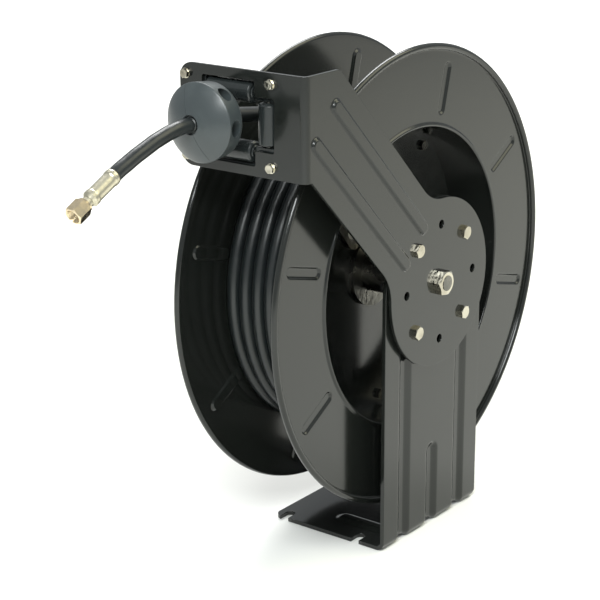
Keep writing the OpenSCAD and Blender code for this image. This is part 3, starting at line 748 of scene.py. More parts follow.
hoseRoute = np.array([(x, 0.0, z) for x, z in hoseSet["route"]])
freeHose = addPiece("freeHose", [tubePart(smoothRoute(hoseRoute, 60), hoseSet["radius"], hoseSet["sides"])],
                    "hose_rubber", "frame", replaces=["free_hose"], sharp=40)
print("free hose made")


# the fitting is made along +Z and then turned onto the end of the hose
tailSet = {
    "start": (-380.0, 0.0, 445.5), "drop": 26.4, "clips": 8,
    "ferruleLength": 36.0, "nutFlats": 16.0,
}
tailTurn = math.radians(tailSet["drop"])
tailWay = np.array([-math.cos(tailTurn), 0.0, -math.sin(tailTurn)])
tailSide = np.array([0.0, 1.0, 0.0])
tailUp = np.cross(tailWay, tailSide)


def ontoTail(part):
    # takes a part made along +Z from the origin to the end of the hose
    points, faces, normals = part
    turn = np.stack([tailUp, tailSide, tailWay])
    moved = points @ turn + np.array(tailSet["start"])
    return moved, faces, None if normals is None else normals @ turn


def makeFerrule(s):
    # crimped shell: the radius dips on flat strips along the crimped length and swells at the collars
    z = np.concatenate([np.linspace(0, 2.5, 5), np.linspace(3, 33, 91),
                        np.linspace(33.4, s["ferruleLength"], 8)])
    t = np.linspace(0, 2 * np.pi, 96, endpoint=False)
    sector = 2 * np.pi / s["clips"]
    flat = np.cos(sector / 2) / np.cos((t + sector / 2) % sector - sector / 2)
    base = np.interp(z, [0, 0.8, 2.5, 5, 6.5, 28, 29.5, 33, 34.5, 36],
                     [7.0, 7.6, 7.8, 7.8, 7.35, 7.35, 7.8, 7.8, 6.6, 5.5])
    crimped = smoothStep(z, 5.5, 8) * (1 - smoothStep(z, 26.5, 29))
    groove = 0.03 * crimped * (0.5 - 0.5 * np.cos((z - 6.5) / 21.5 * 2 * np.pi * 4))
    r = (base - groove)[:, None] * (1 + crimped[:, None] * (flat[None] - 1) * 0.15)
    inner = np.full((1, len(t)), 4.0)
    r = np.concatenate([inner, r, inner])
    z = np.concatenate([z[:1], z, z[-1:]])
    points = np.stack([r * np.cos(t), r * np.sin(t), np.broadcast_to(z[:, None], r.shape)], -1)
    return netPart(points, wrapRows=True, wrapCols=True)


ferrule = addPiece("crimpedFerrule", [ontoTail(makeFerrule(tailSet))], "zinc_ferrule", "frame",
                   replaces=["ferrule"], sharp=32)
stemProfile = [(2.6, 0), (4, 0), (4, 36), (5.4, 36.2), (5.4, 39.5), (4.5, 39.8),
               (4.5, 45), (5.6, 45.2), (5.6, 47), (2.6, 47)]
stem = addPiece("hoseStem", [ontoTail(turned(stemProfile, 0.15, (0, 0, 0), "z", 64))], "zinc_ferrule",
                "frame", replaces=["hose_stem"])


def makeSwivelNut(s):
    # hexagon with bevelled corners, a turned collar, a lip at its mouth and a thread inside
    t = np.radians(np.arange(0, 360, 5))
    flats = s["nutFlats"]
    side = flats / 2 / np.cos((t + np.pi / 6) % (np.pi / 3) - np.pi / 6)
    face = flats / 2 * 0.96
    drop = (side - face) * math.tan(math.radians(30))
    one = np.ones_like(t)
    rows = [(4.56 * one, 40 * one), (6.6 * one, 40 * one), (face * 0.93 * one, 40.4 * one),
            (face * 0.93 * one, 42.2 * one), (face * one, 42.6 * one), (side, 42.6 + drop),
            (side, 57.5 - drop), (face * one, 57.5 * one), (6.5 * one, 57.5 * one)]
    z = np.arange(57.0, 48.0, -0.125)
    for height in z:
        wave = (height / 1.0 - t / (2 * np.pi)) % 1.0
        rows.append((6.05 + 0.4 * np.abs(2 * wave - 1), height * one))
    rows += [(6.2 * one, 47.6 * one), (6.2 * one, 46 * one), (4.56 * one, 46 * one)]
    points = np.stack([np.stack([r * np.cos(t), r * np.sin(t), h], -1) for r, h in rows])
    return netPart(points, wrapRows=True, wrapCols=True)


swivelNut = addPiece("swivelNut", [ontoTail(makeSwivelNut(tailSet))], "plated_brass", "swivel_nut",
                     replaces=["swivel_nut"], sharp=24)
print("end fitting made")


# spool: two pressed flanges with rolled rims, and the drum between them
flangeSet = {
    "window": 155.0, "inside": 56.0, "sheet": 2.0, "curl": 3.5, "lip": 2.0,
    "ribs": 8, "firstRib": 30.3, "ribFrom": 174.0, "ribTo": 216.0,
    "pressed": 2.2, "outerHalf": 5.0, "innerHalf": 6.6, "slope": 2.6,
}


def flangeAngles():
    # columns: close together across each rib, where they run parallel to it, and wide between ribs.
    # gives for each column the angle of its rib, and either an offset from it or a share of the gap
    offsets = np.concatenate([[-10], np.arange(-8.5, 8.6, 0.85), [10]])
    shares = np.linspace(0, 1, 15)[1:-1]
    return offsets, shares


def makeFlange(s, outwardY):
    # profile of (radius, distance out): inner edge, lip bead, outer face, rolled rim, inner face.
    # each face sinks by pressed * mask, where mask falls from 1 to 0 past the edge of an obround rib
    face = np.concatenate([
        np.arange(160.0, 164.5, 1.5), np.arange(165.0, 177.0, 0.9), np.linspace(178, 212, 9),
        np.arange(213.0, 226.0, 0.9), [228.0, 231.0]])
    near, far = s["inside"], s["inside"] + s["sheet"]
    lip = arc((s["window"] + s["lip"], far), s["lip"], 180, 25, 9)
    curlAt = (rimRadius - s["curl"], near + s["curl"])
    curl = arc(curlAt, s["curl"], 200, -90, 22)
    outer = np.stack([face, np.full_like(face, far)], 1)
    inner = np.stack([face[::-1], np.full_like(face, near)], 1)
    profile = np.concatenate([
        [[s["window"] + 0.4, near], [s["window"] + 0.12, near + 0.12], [s["window"], near + 0.4]],
        lip, [[159.3, far + 0.1]], outer, [[232.4, far + 0.05]], curl, inner, [[157.5, near]]])
    k = len(lip) + 4
    sign = np.zeros(len(profile))
    sign[k:k + len(face)] = 1
    sign[-1 - len(face):-1] = -1
    offsets, shares = flangeAngles()
    radius = profile[:, 0]
    columns = []
    pitch = 2 * np.pi / s["ribs"]
    for i in range(s["ribs"]):
        rib = math.radians(s["firstRib"]) + i * pitch
        across = [rib + np.arcsin(o / radius) for o in offsets]
        edge = np.arcsin(offsets[-1] / radius)
        between = [rib + edge + (pitch - 2 * edge) * share for share in shares]
        columns += [(a, o * np.ones_like(radius)) for a, o in zip(across, offsets)]
        columns += [(a, 99 * np.ones_like(radius)) for a in between]
    angle = np.stack([a for a, _ in columns], 1)
    offset = np.stack([o for _, o in columns], 1)
    along = radius[:, None] * np.cos(np.arcsin(np.clip(offset / radius[:, None], -1, 1)))
    past = np.maximum(np.maximum(s["ribFrom"] - along, along - s["ribTo"]), 0)
    distance = np.where(offset > 90, 99.0, np.hypot(offset, past))
    half = np.where(sign > 0, s["outerHalf"], s["innerHalf"])[:, None]
    mask = 1 - smoothStep(distance, half - s["slope"] / 2, half + s["slope"] / 2)
    out = profile[:, 1:] - s["pressed"] * mask * (sign != 0)[:, None]
    points = np.stack([radius[:, None] * np.cos(angle), outwardY * out,
                       axleZ + radius[:, None] * np.sin(angle)], -1)
    return netPart(points, netNormals(points), wrapRows=True, wrapCols=True)


def netNormals(points):
    # normals of a closed net, from the two centred differences
    acrossRows = np.roll(points, -1, 0) - np.roll(points, 1, 0)
    acrossCols = np.roll(points, -1, 1) - np.roll(points, 1, 1)
    return unit(np.cross(acrossRows, acrossCols))


addPiece("nearFlange", [makeFlange(flangeSet, -1)], "black_enamel", "spool", replaces=["near_flange"])
addPiece("farFlange", [makeFlange(flangeSet, 1)], "black_enamel", "spool", replaces=["far_flange"])
drumProfile = [(156.5, -56), (158.5, -56), (158.5, 56), (156.5, 56)]
addPiece("drumShell", [turned(drumProfile, 0.4, (0, 0, axleZ), "y", 256)], "black_enamel", "spool",
         replaces=["drum"])
print("spool made")


# the hose on the drum, and the length that leads from it to the outlet
coilSet = {
    "radius": 7.0, "turns": 7, "pitch": 15.5, "ring": 165.7, "wander": 0.25, "sides": 28, "steps": 320,
}


def makeTurn(s, index):
    # ring of hose round the drum whose centre line wanders a little to the sides;
    # the middle turn is plain because the leading hose runs onto it
    t = np.linspace(0, 2 * np.pi, s["steps"], endpoint=False)
    q = np.linspace(0, 2 * np.pi, s["sides"], endpoint=False)
    y = (index - (s["turns"] - 1) / 2) * s["pitch"]
    wander = 0.0 if index == s["turns"] // 2 else s["wander"]
    lane = y + wander * (np.sin(2 * t + 1.3 * index) + 0.5 * np.sin(5 * t + 2.1 * index))
    r = s["ring"] + s["radius"] * np.cos(q)[None]
    across = lane[:, None] + s["radius"] * np.sin(q)[None]
    points = np.stack([r * np.cos(t)[:, None], across, axleZ + r * np.sin(t)[:, None]], -1)
    normals = np.stack([np.cos(q)[None] * np.cos(t)[:, None], np.sin(q)[None] * np.ones((len(t), 1)),
                        np.cos(q)[None] * np.sin(t)[:, None]], -1)
    return netPart(points, normals, wrapRows=True, wrapCols=True)


addPiece("woundHose", [makeTurn(coilSet, i) for i in range(coilSet["turns"])], "hose_rubber", "spool",
         replaces=["wound_hose"])


def makeLeadingHose():
    # leaves the coil along its tangent, runs straight, bends level behind the stop and passes through it
    stopLow, stopHigh = nodeSpan("stop_half_near")
    backX, frontX, height = stopHigh[0], stopLow[0], hoseRoute[0][2]
    bend = 60.0
    apart = np.array([-backX, axleZ - height + bend])
    slope = -math.atan2(apart[1], apart[0]) - math.asin((coilSet["ring"] - bend) / np.hypot(*apart))
    level = np.stack([np.linspace(frontX + 0.3, backX - 0.5, 12), np.full(12, height)], 1)
    turn = np.linspace(0, slope, 8)
    curve = np.stack([backX + bend * np.sin(turn), height - bend * (1 - np.cos(turn))], 1)
    leave = np.pi / 2 - slope
    last = np.array([coilSet["ring"] * math.cos(leave), axleZ + coilSet["ring"] * math.sin(leave)])
    straight = curve[-1] + (last - curve[-1]) * np.linspace(0, 1, 24)[1:, None]
    sinking = leave - np.radians(np.arange(1.0, 14.0, 1.5))
    ringIn = (coilSet["ring"] - 0.12 * np.arange(len(sinking)))[:, None]
    onCoil = ringIn * np.stack([np.cos(sinking), np.sin(sinking)], 1) + [0, axleZ]
    flat = np.concatenate([level, curve, straight, onCoil])
    return tubePart(np.stack([flat[:, 0], np.zeros(len(flat)), flat[:, 1]], 1), coilSet["radius"], 32)


addPiece("leadingHose", [makeLeadingHose()], "hose_rubber", "frame", replaces=["leading_hose"], sharp=40)
print("hose made")


# pedestal: one bent plate with three pressed ribs and a slotted foot
pedestalSet = {
    "thickness": 4.5, "bend": 9.0, "corner": 9.0, "rib": 3.8, "ribHalf": 7.2, "ribSlope": 9.0,
    "sideRibX": 52.0, "sideRibTop": 206.0, "sideRibReach": 74.0, "midRibTop": 84.0, "midRibReach": 30.0,
    "slotX": 77.0, "slotY": 46.5, "slotHalf": 5.0, "indexRadius": 61.0, "indexHole": 4.5, "axleHole": 8.3,
}


def makePedestal(s):
    # unfolded: u is across, v runs down the outside of the front, round the bend and along the foot.
    # a rib pushes both faces in by rib * mask, where mask falls off past its half width
    top, half = footHigh[2], footHigh[0]
    outerY, endY = footLow[1], footHigh[1]
    bend = s["bend"]
    bendStart = top - bend
    footStart = bendStart + bend * np.pi / 2
    total = footStart + endY - (outerY + bend)

    def onFoot(y):
        return footStart + y - (outerY + bend)

    bars = [((x, top - s["sideRibTop"]), (x, onFoot(outerY + s["sideRibReach"])))
            for x in (-s["sideRibX"], s["sideRibX"])]
    bars.append(((0.0, top - s["midRibTop"]), (0.0, onFoot(outerY + s["midRibReach"]))))

    def pressed(u, v):
        depth = np.zeros_like(u)
        for start, end in bars:
            away = barDistance(u, v, start, end)
            mask = 1 - smoothStep(away, s["ribHalf"] - s["ribSlope"] / 2, s["ribHalf"] + s["ribSlope"] / 2)
            depth = np.maximum(depth, mask)
        return s["rib"] * depth

    def place(u, v, depth):
        d = depth + pressed(u, v)
        phi = np.clip((v - bendStart) / bend, 0, np.pi / 2)
        y = outerY + bend - (bend - d) * np.cos(phi) + np.maximum(v - footStart, 0)
        z = bend - (bend - d) * np.sin(phi) + np.maximum(bendStart - v, 0)
        return np.stack([u, y, z], -1)

    edgeV = onFoot(endY)
    outline = [arc((0, half), half, 180, 360, 49)]
    for y in (-s["slotY"], s["slotY"]):
        outline.append(np.array([[half, onFoot(y) - s["slotHalf"]]]))
        outline.append(arc((s["slotX"], onFoot(y)), s["slotHalf"], -90, -270, 13))
        outline.append(np.array([[half - (0 if y < 0 else 0.02), onFoot(y) + s["slotHalf"]]]))
    outline.append(arc((half - s["corner"], edgeV - s["corner"]), s["corner"], 8, 90, 7))
    right = np.concatenate(outline)
    onlyRight = right[49:]
    left = onlyRight[::-1] * [-1, 1]
    loop = np.concatenate([right, left])
    centre = (0.0, half)
    holes = [circleLoop(centre, s["axleHole"])]
    for i in range(8):
        a = math.radians(45 * i)
        holes.append(circleLoop((s["indexRadius"] * math.cos(a), half - s["indexRadius"] * math.sin(a)),
                                s["indexHole"], 24))
    seeds = clearOf(gridSeeds((-half, 0), (half, total), 7.0), bars, 15.0)
    # even rows across the bend, where the plate curves
    bendRows = np.linspace(bendStart - 3, footStart + 3, 15)
    across = np.arange(-half + 3, half - 2, 5.0)
    seeds = seeds[(seeds[:, 1] < bendRows[0] - 2) | (seeds[:, 1] > bendRows[-1] + 2)]
    rows = np.concatenate([np.arange(-12.6, -1.0, 1.15), [0.0], np.arange(12.6, 1.0, -1.15)])
    ribRows = np.concatenate([barSeeds(a, b, rows, 5.0) for a, b in bars])
    ribRows = ribRows[(ribRows[:, 1] < bendRows[0] - 1) | (ribRows[:, 1] > bendRows[-1] + 1)]
    ribAcross = np.concatenate([b[0][0] + rows for b in bars])
    plain = across[np.min(np.abs(across[:, None] - [b[0][0] for b in bars]), 1) > 15]
    grid = np.stack(np.meshgrid(np.concatenate([plain, ribAcross]), bendRows), -1).reshape(-1, 2)
    return platePart([loop] + holes, np.concatenate([seeds, ribRows, grid]), place, s["thickness"])


addPiece("pedestalPlate", [makePedestal(pedestalSet)], "black_enamel", "frame", replaces=["pedestal"])
print("pedestal made")


# guide arm: one bent plate with a round hub and an upright outlet plate
armSet = {
    "thickness": 3.5, "bend": 7.0, "disc": 88.0, "half": 49.5, "fillet": 50.0, "turn": 135.0,
    "plateHalf": 49.0, "corner": 14.0, "topCorner": 8.0, "rib": 3.0, "ribAside": 21.5, "ribFrom": 70.0,
    "ribTo": 277.0, "ribHalf": 6.2, "ribSlope": 3.2, "window": [(31.0, 39.5), (53.0, 25.0)],
    "screwY": 50.0, "screwZ": 38.5, "screwHole": 2.8,
}


def makeGuideArm(s):
    # unfolded: u is x as far as the bend, then runs on round it and across the outlet plate; v is z
    outerY, frontX, farY = armLow[1], armLow[0], armHigh[1]
    bend = s["bend"]
    bendU = frontX + bend
    plateU = bendU - bend * np.pi / 2
    endU = plateU - (farY - outerY - bend)
    way = np.array([math.cos(math.radians(s["turn"])), math.sin(math.radians(s["turn"]))])
    side = np.array([-way[1], way[0]])
    hub = np.array([0.0, axleZ])
    bars = [(hub + way * s["ribFrom"] + side * a, hub + way * s["ribTo"] + side * a)
            for a in (-s["ribAside"], s["ribAside"])]

    def raised(u, v):
        depth = np.zeros_like(u)
        for start, end in bars:
            mask = 1 - smoothStep(barDistance(u, v, start, end), s["ribHalf"] - s["ribSlope"] / 2,
                                  s["ribHalf"] + s["ribSlope"] / 2)
            depth = np.maximum(depth, mask)
        return s["rib"] * depth

    def place(u, v, depth):
        d = depth - raised(u, v)
        phi = np.clip((bendU - u) / bend, 0, np.pi / 2)
        x = bendU - (bend - d) * np.sin(phi) + np.maximum(u - bendU, 0)
        y = outerY + bend - (bend - d) * np.cos(phi) + np.maximum(plateU - u, 0)
        return np.stack([x, y, v], -1)

    def along(y):
        return plateU - (y - outerY - bend)

    top, bottom = outletZ + s["plateHalf"], outletZ - s["plateHalf"]
    half, fillet, disc = s["half"], s["fillet"], s["disc"]
    reach = math.sqrt((disc + fillet) ** 2 - (half + fillet) ** 2)
    spread = math.degrees(math.atan2(half + fillet, reach))
    slant = half * math.sqrt(2)
    lowMeet = np.array([-(bottom - axleZ) - slant, bottom])
    highMeet = np.array([slant - (top - axleZ), top])
    centres = [hub + way * reach + side * sign * (half + fillet) for sign in (1, -1)]
    turn = s["turn"]
    outline = np.concatenate([
        arc((endU + s["corner"], bottom + s["corner"]), s["corner"], 180, 270, 9),
        [lowMeet],
        arc(centres[0], fillet, turn - 90, turn + spread - 180, 13),
        arc(hub, disc, turn + spread, turn - spread + 360, 61),
        arc(centres[1], fillet, turn - spread + 180, turn + 90, 13),
        softCorner(hub + way * reach - side * half, highMeet, (endU, top), s["topCorner"]),
        arc((endU + s["corner"], top - s["corner"]), s["corner"], 90, 180, 9)])
    (wideY, highZ), (fullY, lowZ) = s["window"]
    cross = [(wideY, highZ), (-wideY, highZ), (-wideY, lowZ), (-fullY, lowZ),
             (-fullY, -lowZ), (-wideY, -lowZ), (-wideY, -highZ), (wideY, -highZ),
             (wideY, -lowZ), (fullY, -lowZ), (fullY, lowZ), (wideY, lowZ)]
    window, _ = roundedOutline(cross, 2.0, 3)
    holes = [np.stack([along(window[:, 0]), outletZ + window[:, 1]], 1)]
    for y in (-s["screwY"], s["screwY"]):
        for z in (-s["screwZ"], s["screwZ"]):
            holes.append(circleLoop((along(y), outletZ + z), s["screwHole"], 16))
    holes.append(circleLoop(hub, pedestalSet["axleHole"]))
    for i in range(8):
        a = math.radians(45 * i)
        holes.append(circleLoop(hub + pedestalSet["indexRadius"] * np.array([math.cos(a), math.sin(a)]),
                                pedestalSet["indexHole"], 24))
    seeds = clearOf(gridSeeds((endU, axleZ - disc), (disc, top), 6.0), bars, 9.5)
    bendCols = np.linspace(plateU - 3, bendU + 3, 13)
    seeds = seeds[(seeds[:, 0] < bendCols[0] - 2) | (seeds[:, 0] > bendCols[-1] + 2)]
    rows = [-8.4, -7.5, -6.6, -5.7, -4.8, -4.0, 0, 4.0, 4.8, 5.7, 6.6, 7.5, 8.4]
    ribRows = np.concatenate([barSeeds(a, b, rows, 5.0) for a, b in bars])
    grid = np.stack(np.meshgrid(bendCols, np.arange(bottom + 3, top, 6.0)), -1).reshape(-1, 2)
    return platePart([outline] + holes, np.concatenate([seeds, ribRows, grid]), place, s["thickness"])


def softCorner(before, corner, after, radius):
    # an arc that touches both sides of an open corner
    before, corner, after = (np.asarray(p, float) for p in (before, corner, after))
    first, second = unit(before - corner), unit(after - corner)
    half = math.acos(np.clip(first @ second, -1, 1)) / 2
    reach = radius / math.tan(half)
    centre = corner + unit(first + second) * radius / math.sin(half)
    a = math.atan2(*(corner + first * reach - centre)[::-1])
    b = math.atan2(*(corner + second * reach - centre)[::-1])
    b = a + (b - a + math.pi) % (2 * math.pi) - math.pi
    t = np.linspace(a, b, 6)
    return centre + radius * np.stack([np.cos(t), np.sin(t)], 1)


addPiece("guideArmPlate", [makeGuideArm(armSet)], "black_enamel", "frame", replaces=["guide_arm"])
print("guide arm made")


# outlet: moulded frame, four rollers and four screws
outletSet = {
    "width": 110.0, "height": 90.0, "corner": 6.0, "opening": [(29.0, 38.5), (53.5, 21.2)],
    "rollX": 7.0, "rollZ": 27.7, "rollY": 42.5, "rollRadius": 10.0, "pinRadius": 2.5, "play": 0.06,
    "flatLength": 54.0, "tallLength": 40.0,
}


def makeRollerFrame(s):
    low, high = nodeSpan("roller_frame")
    depth = high[0] - low[0]

    def place(u, v, d):
        return np.stack([low[0] + d, u, v + outletZ], -1)

    w, h = s["width"] / 2, s["height"] / 2
    outer, _ = roundedOutline([(-w, -h), (w, -h), (w, h), (-w, h)], s["corner"], 6)
    (a, b), (c, d) = s["opening"]
    cross = [(a, b), (-a, b), (-a, d), (-c, d), (-c, -d), (-a, -d),
             (-a, -b), (a, -b), (a, -d), (c, -d), (c, d), (a, d)]
    hole, _ = roundedOutline(cross, 1.5, 3)
    return platePart([outer, hole], gridSeeds((-w, -h), (w, h), 8.0), place, depth, edge=0.9)


addPiece("rollerFrame", [makeRollerFrame(outletSet)], "black_nylon", "frame", replaces=["roller_frame"])


def makeRoller(s, name, centre, axis, length, body, node):
    half, r, b = length / 2, s["rollRadius"], s["pinRadius"] + s["play"]
    corners = [(b, -half), (5.5, -half), (6.2, -half + 0.7), (r - 1.5, -half + 0.7), (r, -half + 2.0),
               (r, half - 2.0), (r - 1.5, half - 0.7), (6.2, half - 0.7), (5.5, half), (b, half)]
    addPiece(name, [turned(corners, [0.2, 0.3, 0.3, 0.5, 0.8, 0.8, 0.5, 0.3, 0.3, 0.2], centre, axis, 72)],
             "black_nylon", body, replaces=[node])


rollX = armLow[0] + outletSet["rollX"]
for roller, offset, axis, length in (
        ("top", (0, outletSet["rollZ"]), "y", outletSet["flatLength"]),
        ("bottom", (0, -outletSet["rollZ"]), "y", outletSet["flatLength"]),
        ("near", (-outletSet["rollY"], 0), "z", outletSet["tallLength"]),
        ("far", (outletSet["rollY"], 0), "z", outletSet["tallLength"])):
    makeRoller(outletSet, roller + "Roller", (rollX, offset[0], outletZ + offset[1]), axis, length,
               "roller_" + roller, "roller_" + roller)


def makeScrewHead(centre):
    # small hexagon head with its washer face, seen on the outlet plate
    x, y, z = centre
    face = [(0.4, x - 1.25), (5.0, x - 1.25), (5.0, x - 0.02), (0.4, x - 0.02)]
    return [hexPart(8.0, x - 4.6, x - 1.2, (0, y, z), 12, True, False, axis="x"),
            turned(face, 0.18, (0, y, z), "x", 40),
            threadPart(2.45, 0.8, x - 0.5, x + 14.5, (0, y, z), "x")]


screwParts = []
for y in (-armSet["screwY"], armSet["screwY"]):
    for z in (-armSet["screwZ"], armSet["screwZ"]):
        screwParts += makeScrewHead((armLow[0], y, outletZ + z))
addPiece("outletScrews", screwParts, "yellow_zinc", "frame", replaces=["frame_screws"], sharp=28)
print("outlet made")


# hose stop: a ball in two halves, clamped round the hose
stopSet = {
    "crease": (37.2, -268.0), "domeRadius": 59.4, "bandEnd": (35.0, -248.5), "backRadius": 50.75,
    "collar": 12.0, "hose": 7.05, "mouth": 8.5, "mouthDepth": 3.0, "turn": 22.5,
    "screwX": -258.5, "screwAside": 16.0, "pocketRadius": 6.8, "pocketFloor": 14.0, "parting": 0.12,
    "columns": 270,
}


def stopProfile(s, frontX, backX):
    # open outline from the hole over the dome, the band, the back and the collar to the hole again
    creaseR, creaseX = s["crease"]
    endR, endX = s["bandEnd"]
    domeX = creaseX + math.sqrt(s["domeRadius"] ** 2 - creaseR ** 2)
    backCentre = endX - math.sqrt(s["backRadius"] ** 2 - endR ** 2)
    domeR = np.linspace(s["mouth"] + 0.7, creaseR - 0.6, 34)
    backR = np.linspace(endR - 0.7, s["collar"], 18)
    line = [(s["hose"], frontX + s["mouthDepth"]), (s["mouth"], frontX + s["mouthDepth"]),
            (s["mouth"], frontX + 1.1), (s["mouth"] + 0.15, frontX + 0.85)]
    line += [(r, domeX - math.sqrt(s["domeRadius"] ** 2 - r ** 2)) for r in domeR]
    line += [(creaseR - 0.16, creaseX + 0.02), (creaseR - 0.05, creaseX + 0.45)]
    bandX = np.arange(creaseX + 0.9, endX - 0.8, 0.33)
    line += [(creaseR + (endR - creaseR) * (x - creaseX) / (endX - creaseX), x) for x in bandX]
    line += [(endR - 0.02, endX - 0.5), (endR - 0.25, endX - 0.1)]
    line += [(r, backCentre + math.sqrt(s["backRadius"] ** 2 - r ** 2)) for r in backR]
    line += [(s["collar"], backX - 0.5), (s["collar"] - 0.5, backX), (s["hose"], backX)]
    return np.array(line)


def makeStopHalf(s, side):
    # profile turned through half a turn. Inside the circle of each screw hole the surface drops to
    # across = pocketFloor; the step is smooth over half a millimetre. A flat face closes the half
    low, high = nodeSpan("stop_half_near")
    height = hoseRoute[0][2]
    line = stopProfile(s, low[0], high[0])
    r, x = line[:, 0], line[:, 1]
    around = np.radians(np.linspace(-90, 90, s["columns"]))
    across = r[:, None] * np.cos(around)[None]
    lift = r[:, None] * np.sin(around)[None]
    for aside in (-s["screwAside"], s["screwAside"]):
        reach = np.hypot(x[:, None] - s["screwX"], lift - aside)
        dent = 1 - smoothStep(reach, s["pocketRadius"] - 0.45, s["pocketRadius"] + 0.1)
        dent = dent * (across > s["pocketFloor"])
        across = across + (s["pocketFloor"] - across) * dent
    y = side * (across + s["parting"])
    turn = math.radians(-s["turn"])
    points = np.stack([np.broadcast_to(x[:, None], y.shape), y * math.cos(turn) - lift * math.sin(turn),
                       height + y * math.sin(turn) + lift * math.cos(turn)], -1)
    shell, faces, _ = netPart(points)
    # the parting face joins the first and last columns of the shell through the hose hole
    first = np.arange(len(r)) * len(around)
    cap = fanBetween(first, len(r)) + fanBetween(first + len(around) - 1, len(r))
    wall = np.stack([np.arange(len(around) - 1), np.arange(1, len(around)),
                     first[-1] + np.arange(1, len(around)), first[-1] + np.arange(len(around) - 1)], 1)
    return shell, np.concatenate([faces, np.array(cap), wall]), None


def fanBetween(ring, count):
    # fills a flat outline that runs out and back: pairs its points from both ends
    pairs = []
    low, high = 0, count - 1
    while high - low > 1:
        pairs.append([ring[low], ring[low + 1], ring[high - 1], ring[high]])
        low, high = low + 1, high - 1
    return pairs


for label, side in (("Near", -1), ("Far", 1)):
    addPiece("hoseStop" + label, [makeStopHalf(stopSet, side)], "stop_rubber", "frame",
             replaces=["stop_half_" + label.lower()], sharp=30)
print("hose stop made")


# bolts, washers and nuts of the arm, and the nut of the axle
boltSet = {
    "flats": 13.0, "radius": 61.0, "angles": [45, 135, 225, 315], "shank": 3.95, "pitch": 1.25,
    "head": 5.5, "headTurn": 12.0, "headFace": 6.0, "washer": 2.2, "washerBore": 4.1, "washerRadius": 7.0,
    "nut": 6.5, "nutTurn": 20.0, "nutBore": 3.9, "past": 9.0,
}
axleNutSet = {
    "flats": 24.0, "nut": 9.0, "turn": 8.0, "bore": 7.9,
    "washer": 2.5, "washerBore": 8.3, "washerRadius": 14.0,
}
armFace = footLow[1] - armSet["thickness"]
plateBack = footLow[1] + pedestalSet["thickness"]


def makeWasher(s, centre, rounding, count):
    # flat ring that lies on the arm's outer face
    bore, outer, face = s["washerBore"], s["washerRadius"], armFace - s["washer"]
    corners = [(bore, face), (outer, face), (outer, armFace), (bore, armFace)]
    return turned(corners, rounding, centre, "y", count)


def makeBolt(s, centre, angle):
    # hexagon head, the round face under it and the threaded shank
    under, seat = armFace - s["washer"], s["headFace"]
    face = [(0.3, under - 0.4), (seat, under - 0.4), (seat, under + 0.05), (0.3, under + 0.05)]
    return [hexPart(s["flats"], under - s["head"], under, centre, s["headTurn"] + angle * 0.4, True, False),
            turned(face, 0.12, centre, "y", 48),
            threadPart(s["shank"], s["pitch"], armFace - 3, plateBack + s["past"], centre)]


boltParts, washerParts, nutParts = [], [], []
for angle in boltSet["angles"]:
    at = onCircle(boltSet["radius"], angle)
    boltParts += makeBolt(boltSet, at, angle)
    washerParts.append(makeWasher(boltSet, at, 0.3, 64))
    nutParts.append(hexPart(boltSet["flats"], plateBack, plateBack + boltSet["nut"], at,
                            boltSet["nutTurn"] + angle * 0.3, False, True, boltSet["nutBore"]))
addPiece("armBolts", boltParts, "yellow_zinc", "frame", replaces=["arm_bolts"], sharp=26)
addPiece("armLockWashers", washerParts, "bright_zinc", "frame", replaces=["arm_lock_washers"])
addPiece("armNuts", nutParts, "bright_zinc", "frame", replaces=["arm_nuts"], sharp=26)
axle = np.array([0.0, 0.0, axleZ])
nutFoot = armFace - axleNutSet["washer"]
axleNut = hexPart(axleNutSet["flats"], nutFoot - axleNutSet["nut"], nutFoot, axle, axleNutSet["turn"],
                  True, True, axleNutSet["bore"])
addPiece("axleNut", [axleNut], "yellow_zinc", "frame", replaces=["axle_nut"], sharp=26)
addPiece("axleWasher", [makeWasher(axleNutSet, axle, 0.4, 96)], "yellow_zinc", "frame",
         replaces=["axle_washer"])
print("fasteners made")


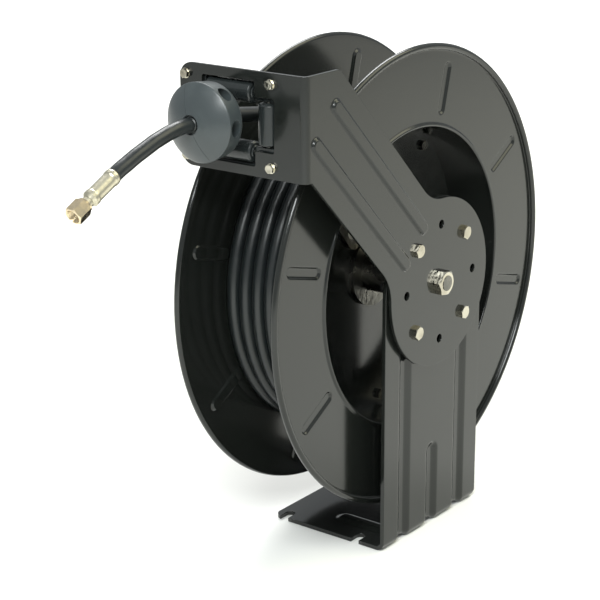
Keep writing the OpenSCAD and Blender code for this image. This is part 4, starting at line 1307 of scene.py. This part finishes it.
# floor, sky and lamps
studioSet = {
    "floor": 30.0, "floorColour": (0.88, 0.875, 0.84), "world": (0.93, 0.98, 1.0), "worldStrength": 0.55,
    "lights": {     # size in metres, power in watts
        "left": {"size": 1.3, "power": 80.0, "tint": (0.96, 1.0, 1.0),
                 "at": (-1.7, -1.0, 2.1), "aim": (0, 0, 0.25)},
        "right": {"size": 2.0, "power": 30.0, "tint": (1.0, 0.96, 0.68),
                  "at": (1.3, -1.4, 2.2), "aim": (0.9, -0.9, 0)},
        "back": {"size": 3.0, "power": 250.0, "tint": (1.0, 1.0, 1.0),
                 "at": (2.8, 2.3, 4.2), "aim": (2.8, 2.3, 0)},
    },
}


def makeStudio(s):
    size = s["floor"]
    grid = np.linspace(-size, size, 5)
    x, y = np.meshgrid(grid, grid)
    points = np.stack([x, y, 0 * x - 0.0004], -1).reshape(-1, 3)
    mesh = bpy.data.meshes.new("studioFloor")
    mesh.from_pydata(points.tolist(), [], netFaces(5, 5).tolist())
    material, tree, shader, place = startMaterial("studioFloor", Roughness=0.9)
    haze = addNode(tree, "ShaderNodeTexNoise", {"Vector": place, "Scale": 0.6, "Detail": 2.0})
    colour = mixColours(tree, remap(tree, haze.outputs["Fac"], 0.3, 0.7, 0.0, 1.0), s["floorColour"],
                        tuple(0.985 * c for c in s["floorColour"]))
    tree.links.new(colour, shader.inputs["Base Color"])
    mesh.materials.append(material)
    floor = bpy.data.objects.new("studioFloor", mesh)
    bpy.context.collection.objects.link(floor)
    world = bpy.data.worlds.new("studioWorld")
    world.use_nodes = True
    background = world.node_tree.nodes["Background"]
    background.inputs["Color"].default_value = (*s["world"], 1)
    background.inputs["Strength"].default_value = s["worldStrength"]
    bpy.context.scene.world = world
    for name, light in s["lights"].items():
        lamp = bpy.data.lights.new(name + "Light", "AREA")
        lamp.size = light["size"]
        lamp.energy = light["power"]
        lamp.color = light["tint"]
        holder = bpy.data.objects.new(name + "Light", lamp)
        holder.location = light["at"]
        aim = Vector(light["aim"]) - holder.location
        holder.rotation_euler = aim.to_track_quat("-Z", "Y").to_euler()
        bpy.context.collection.objects.link(holder)
    bpy.context.scene.view_settings.view_transform = "Standard"


makeStudio(studioSet)
print("studio made")
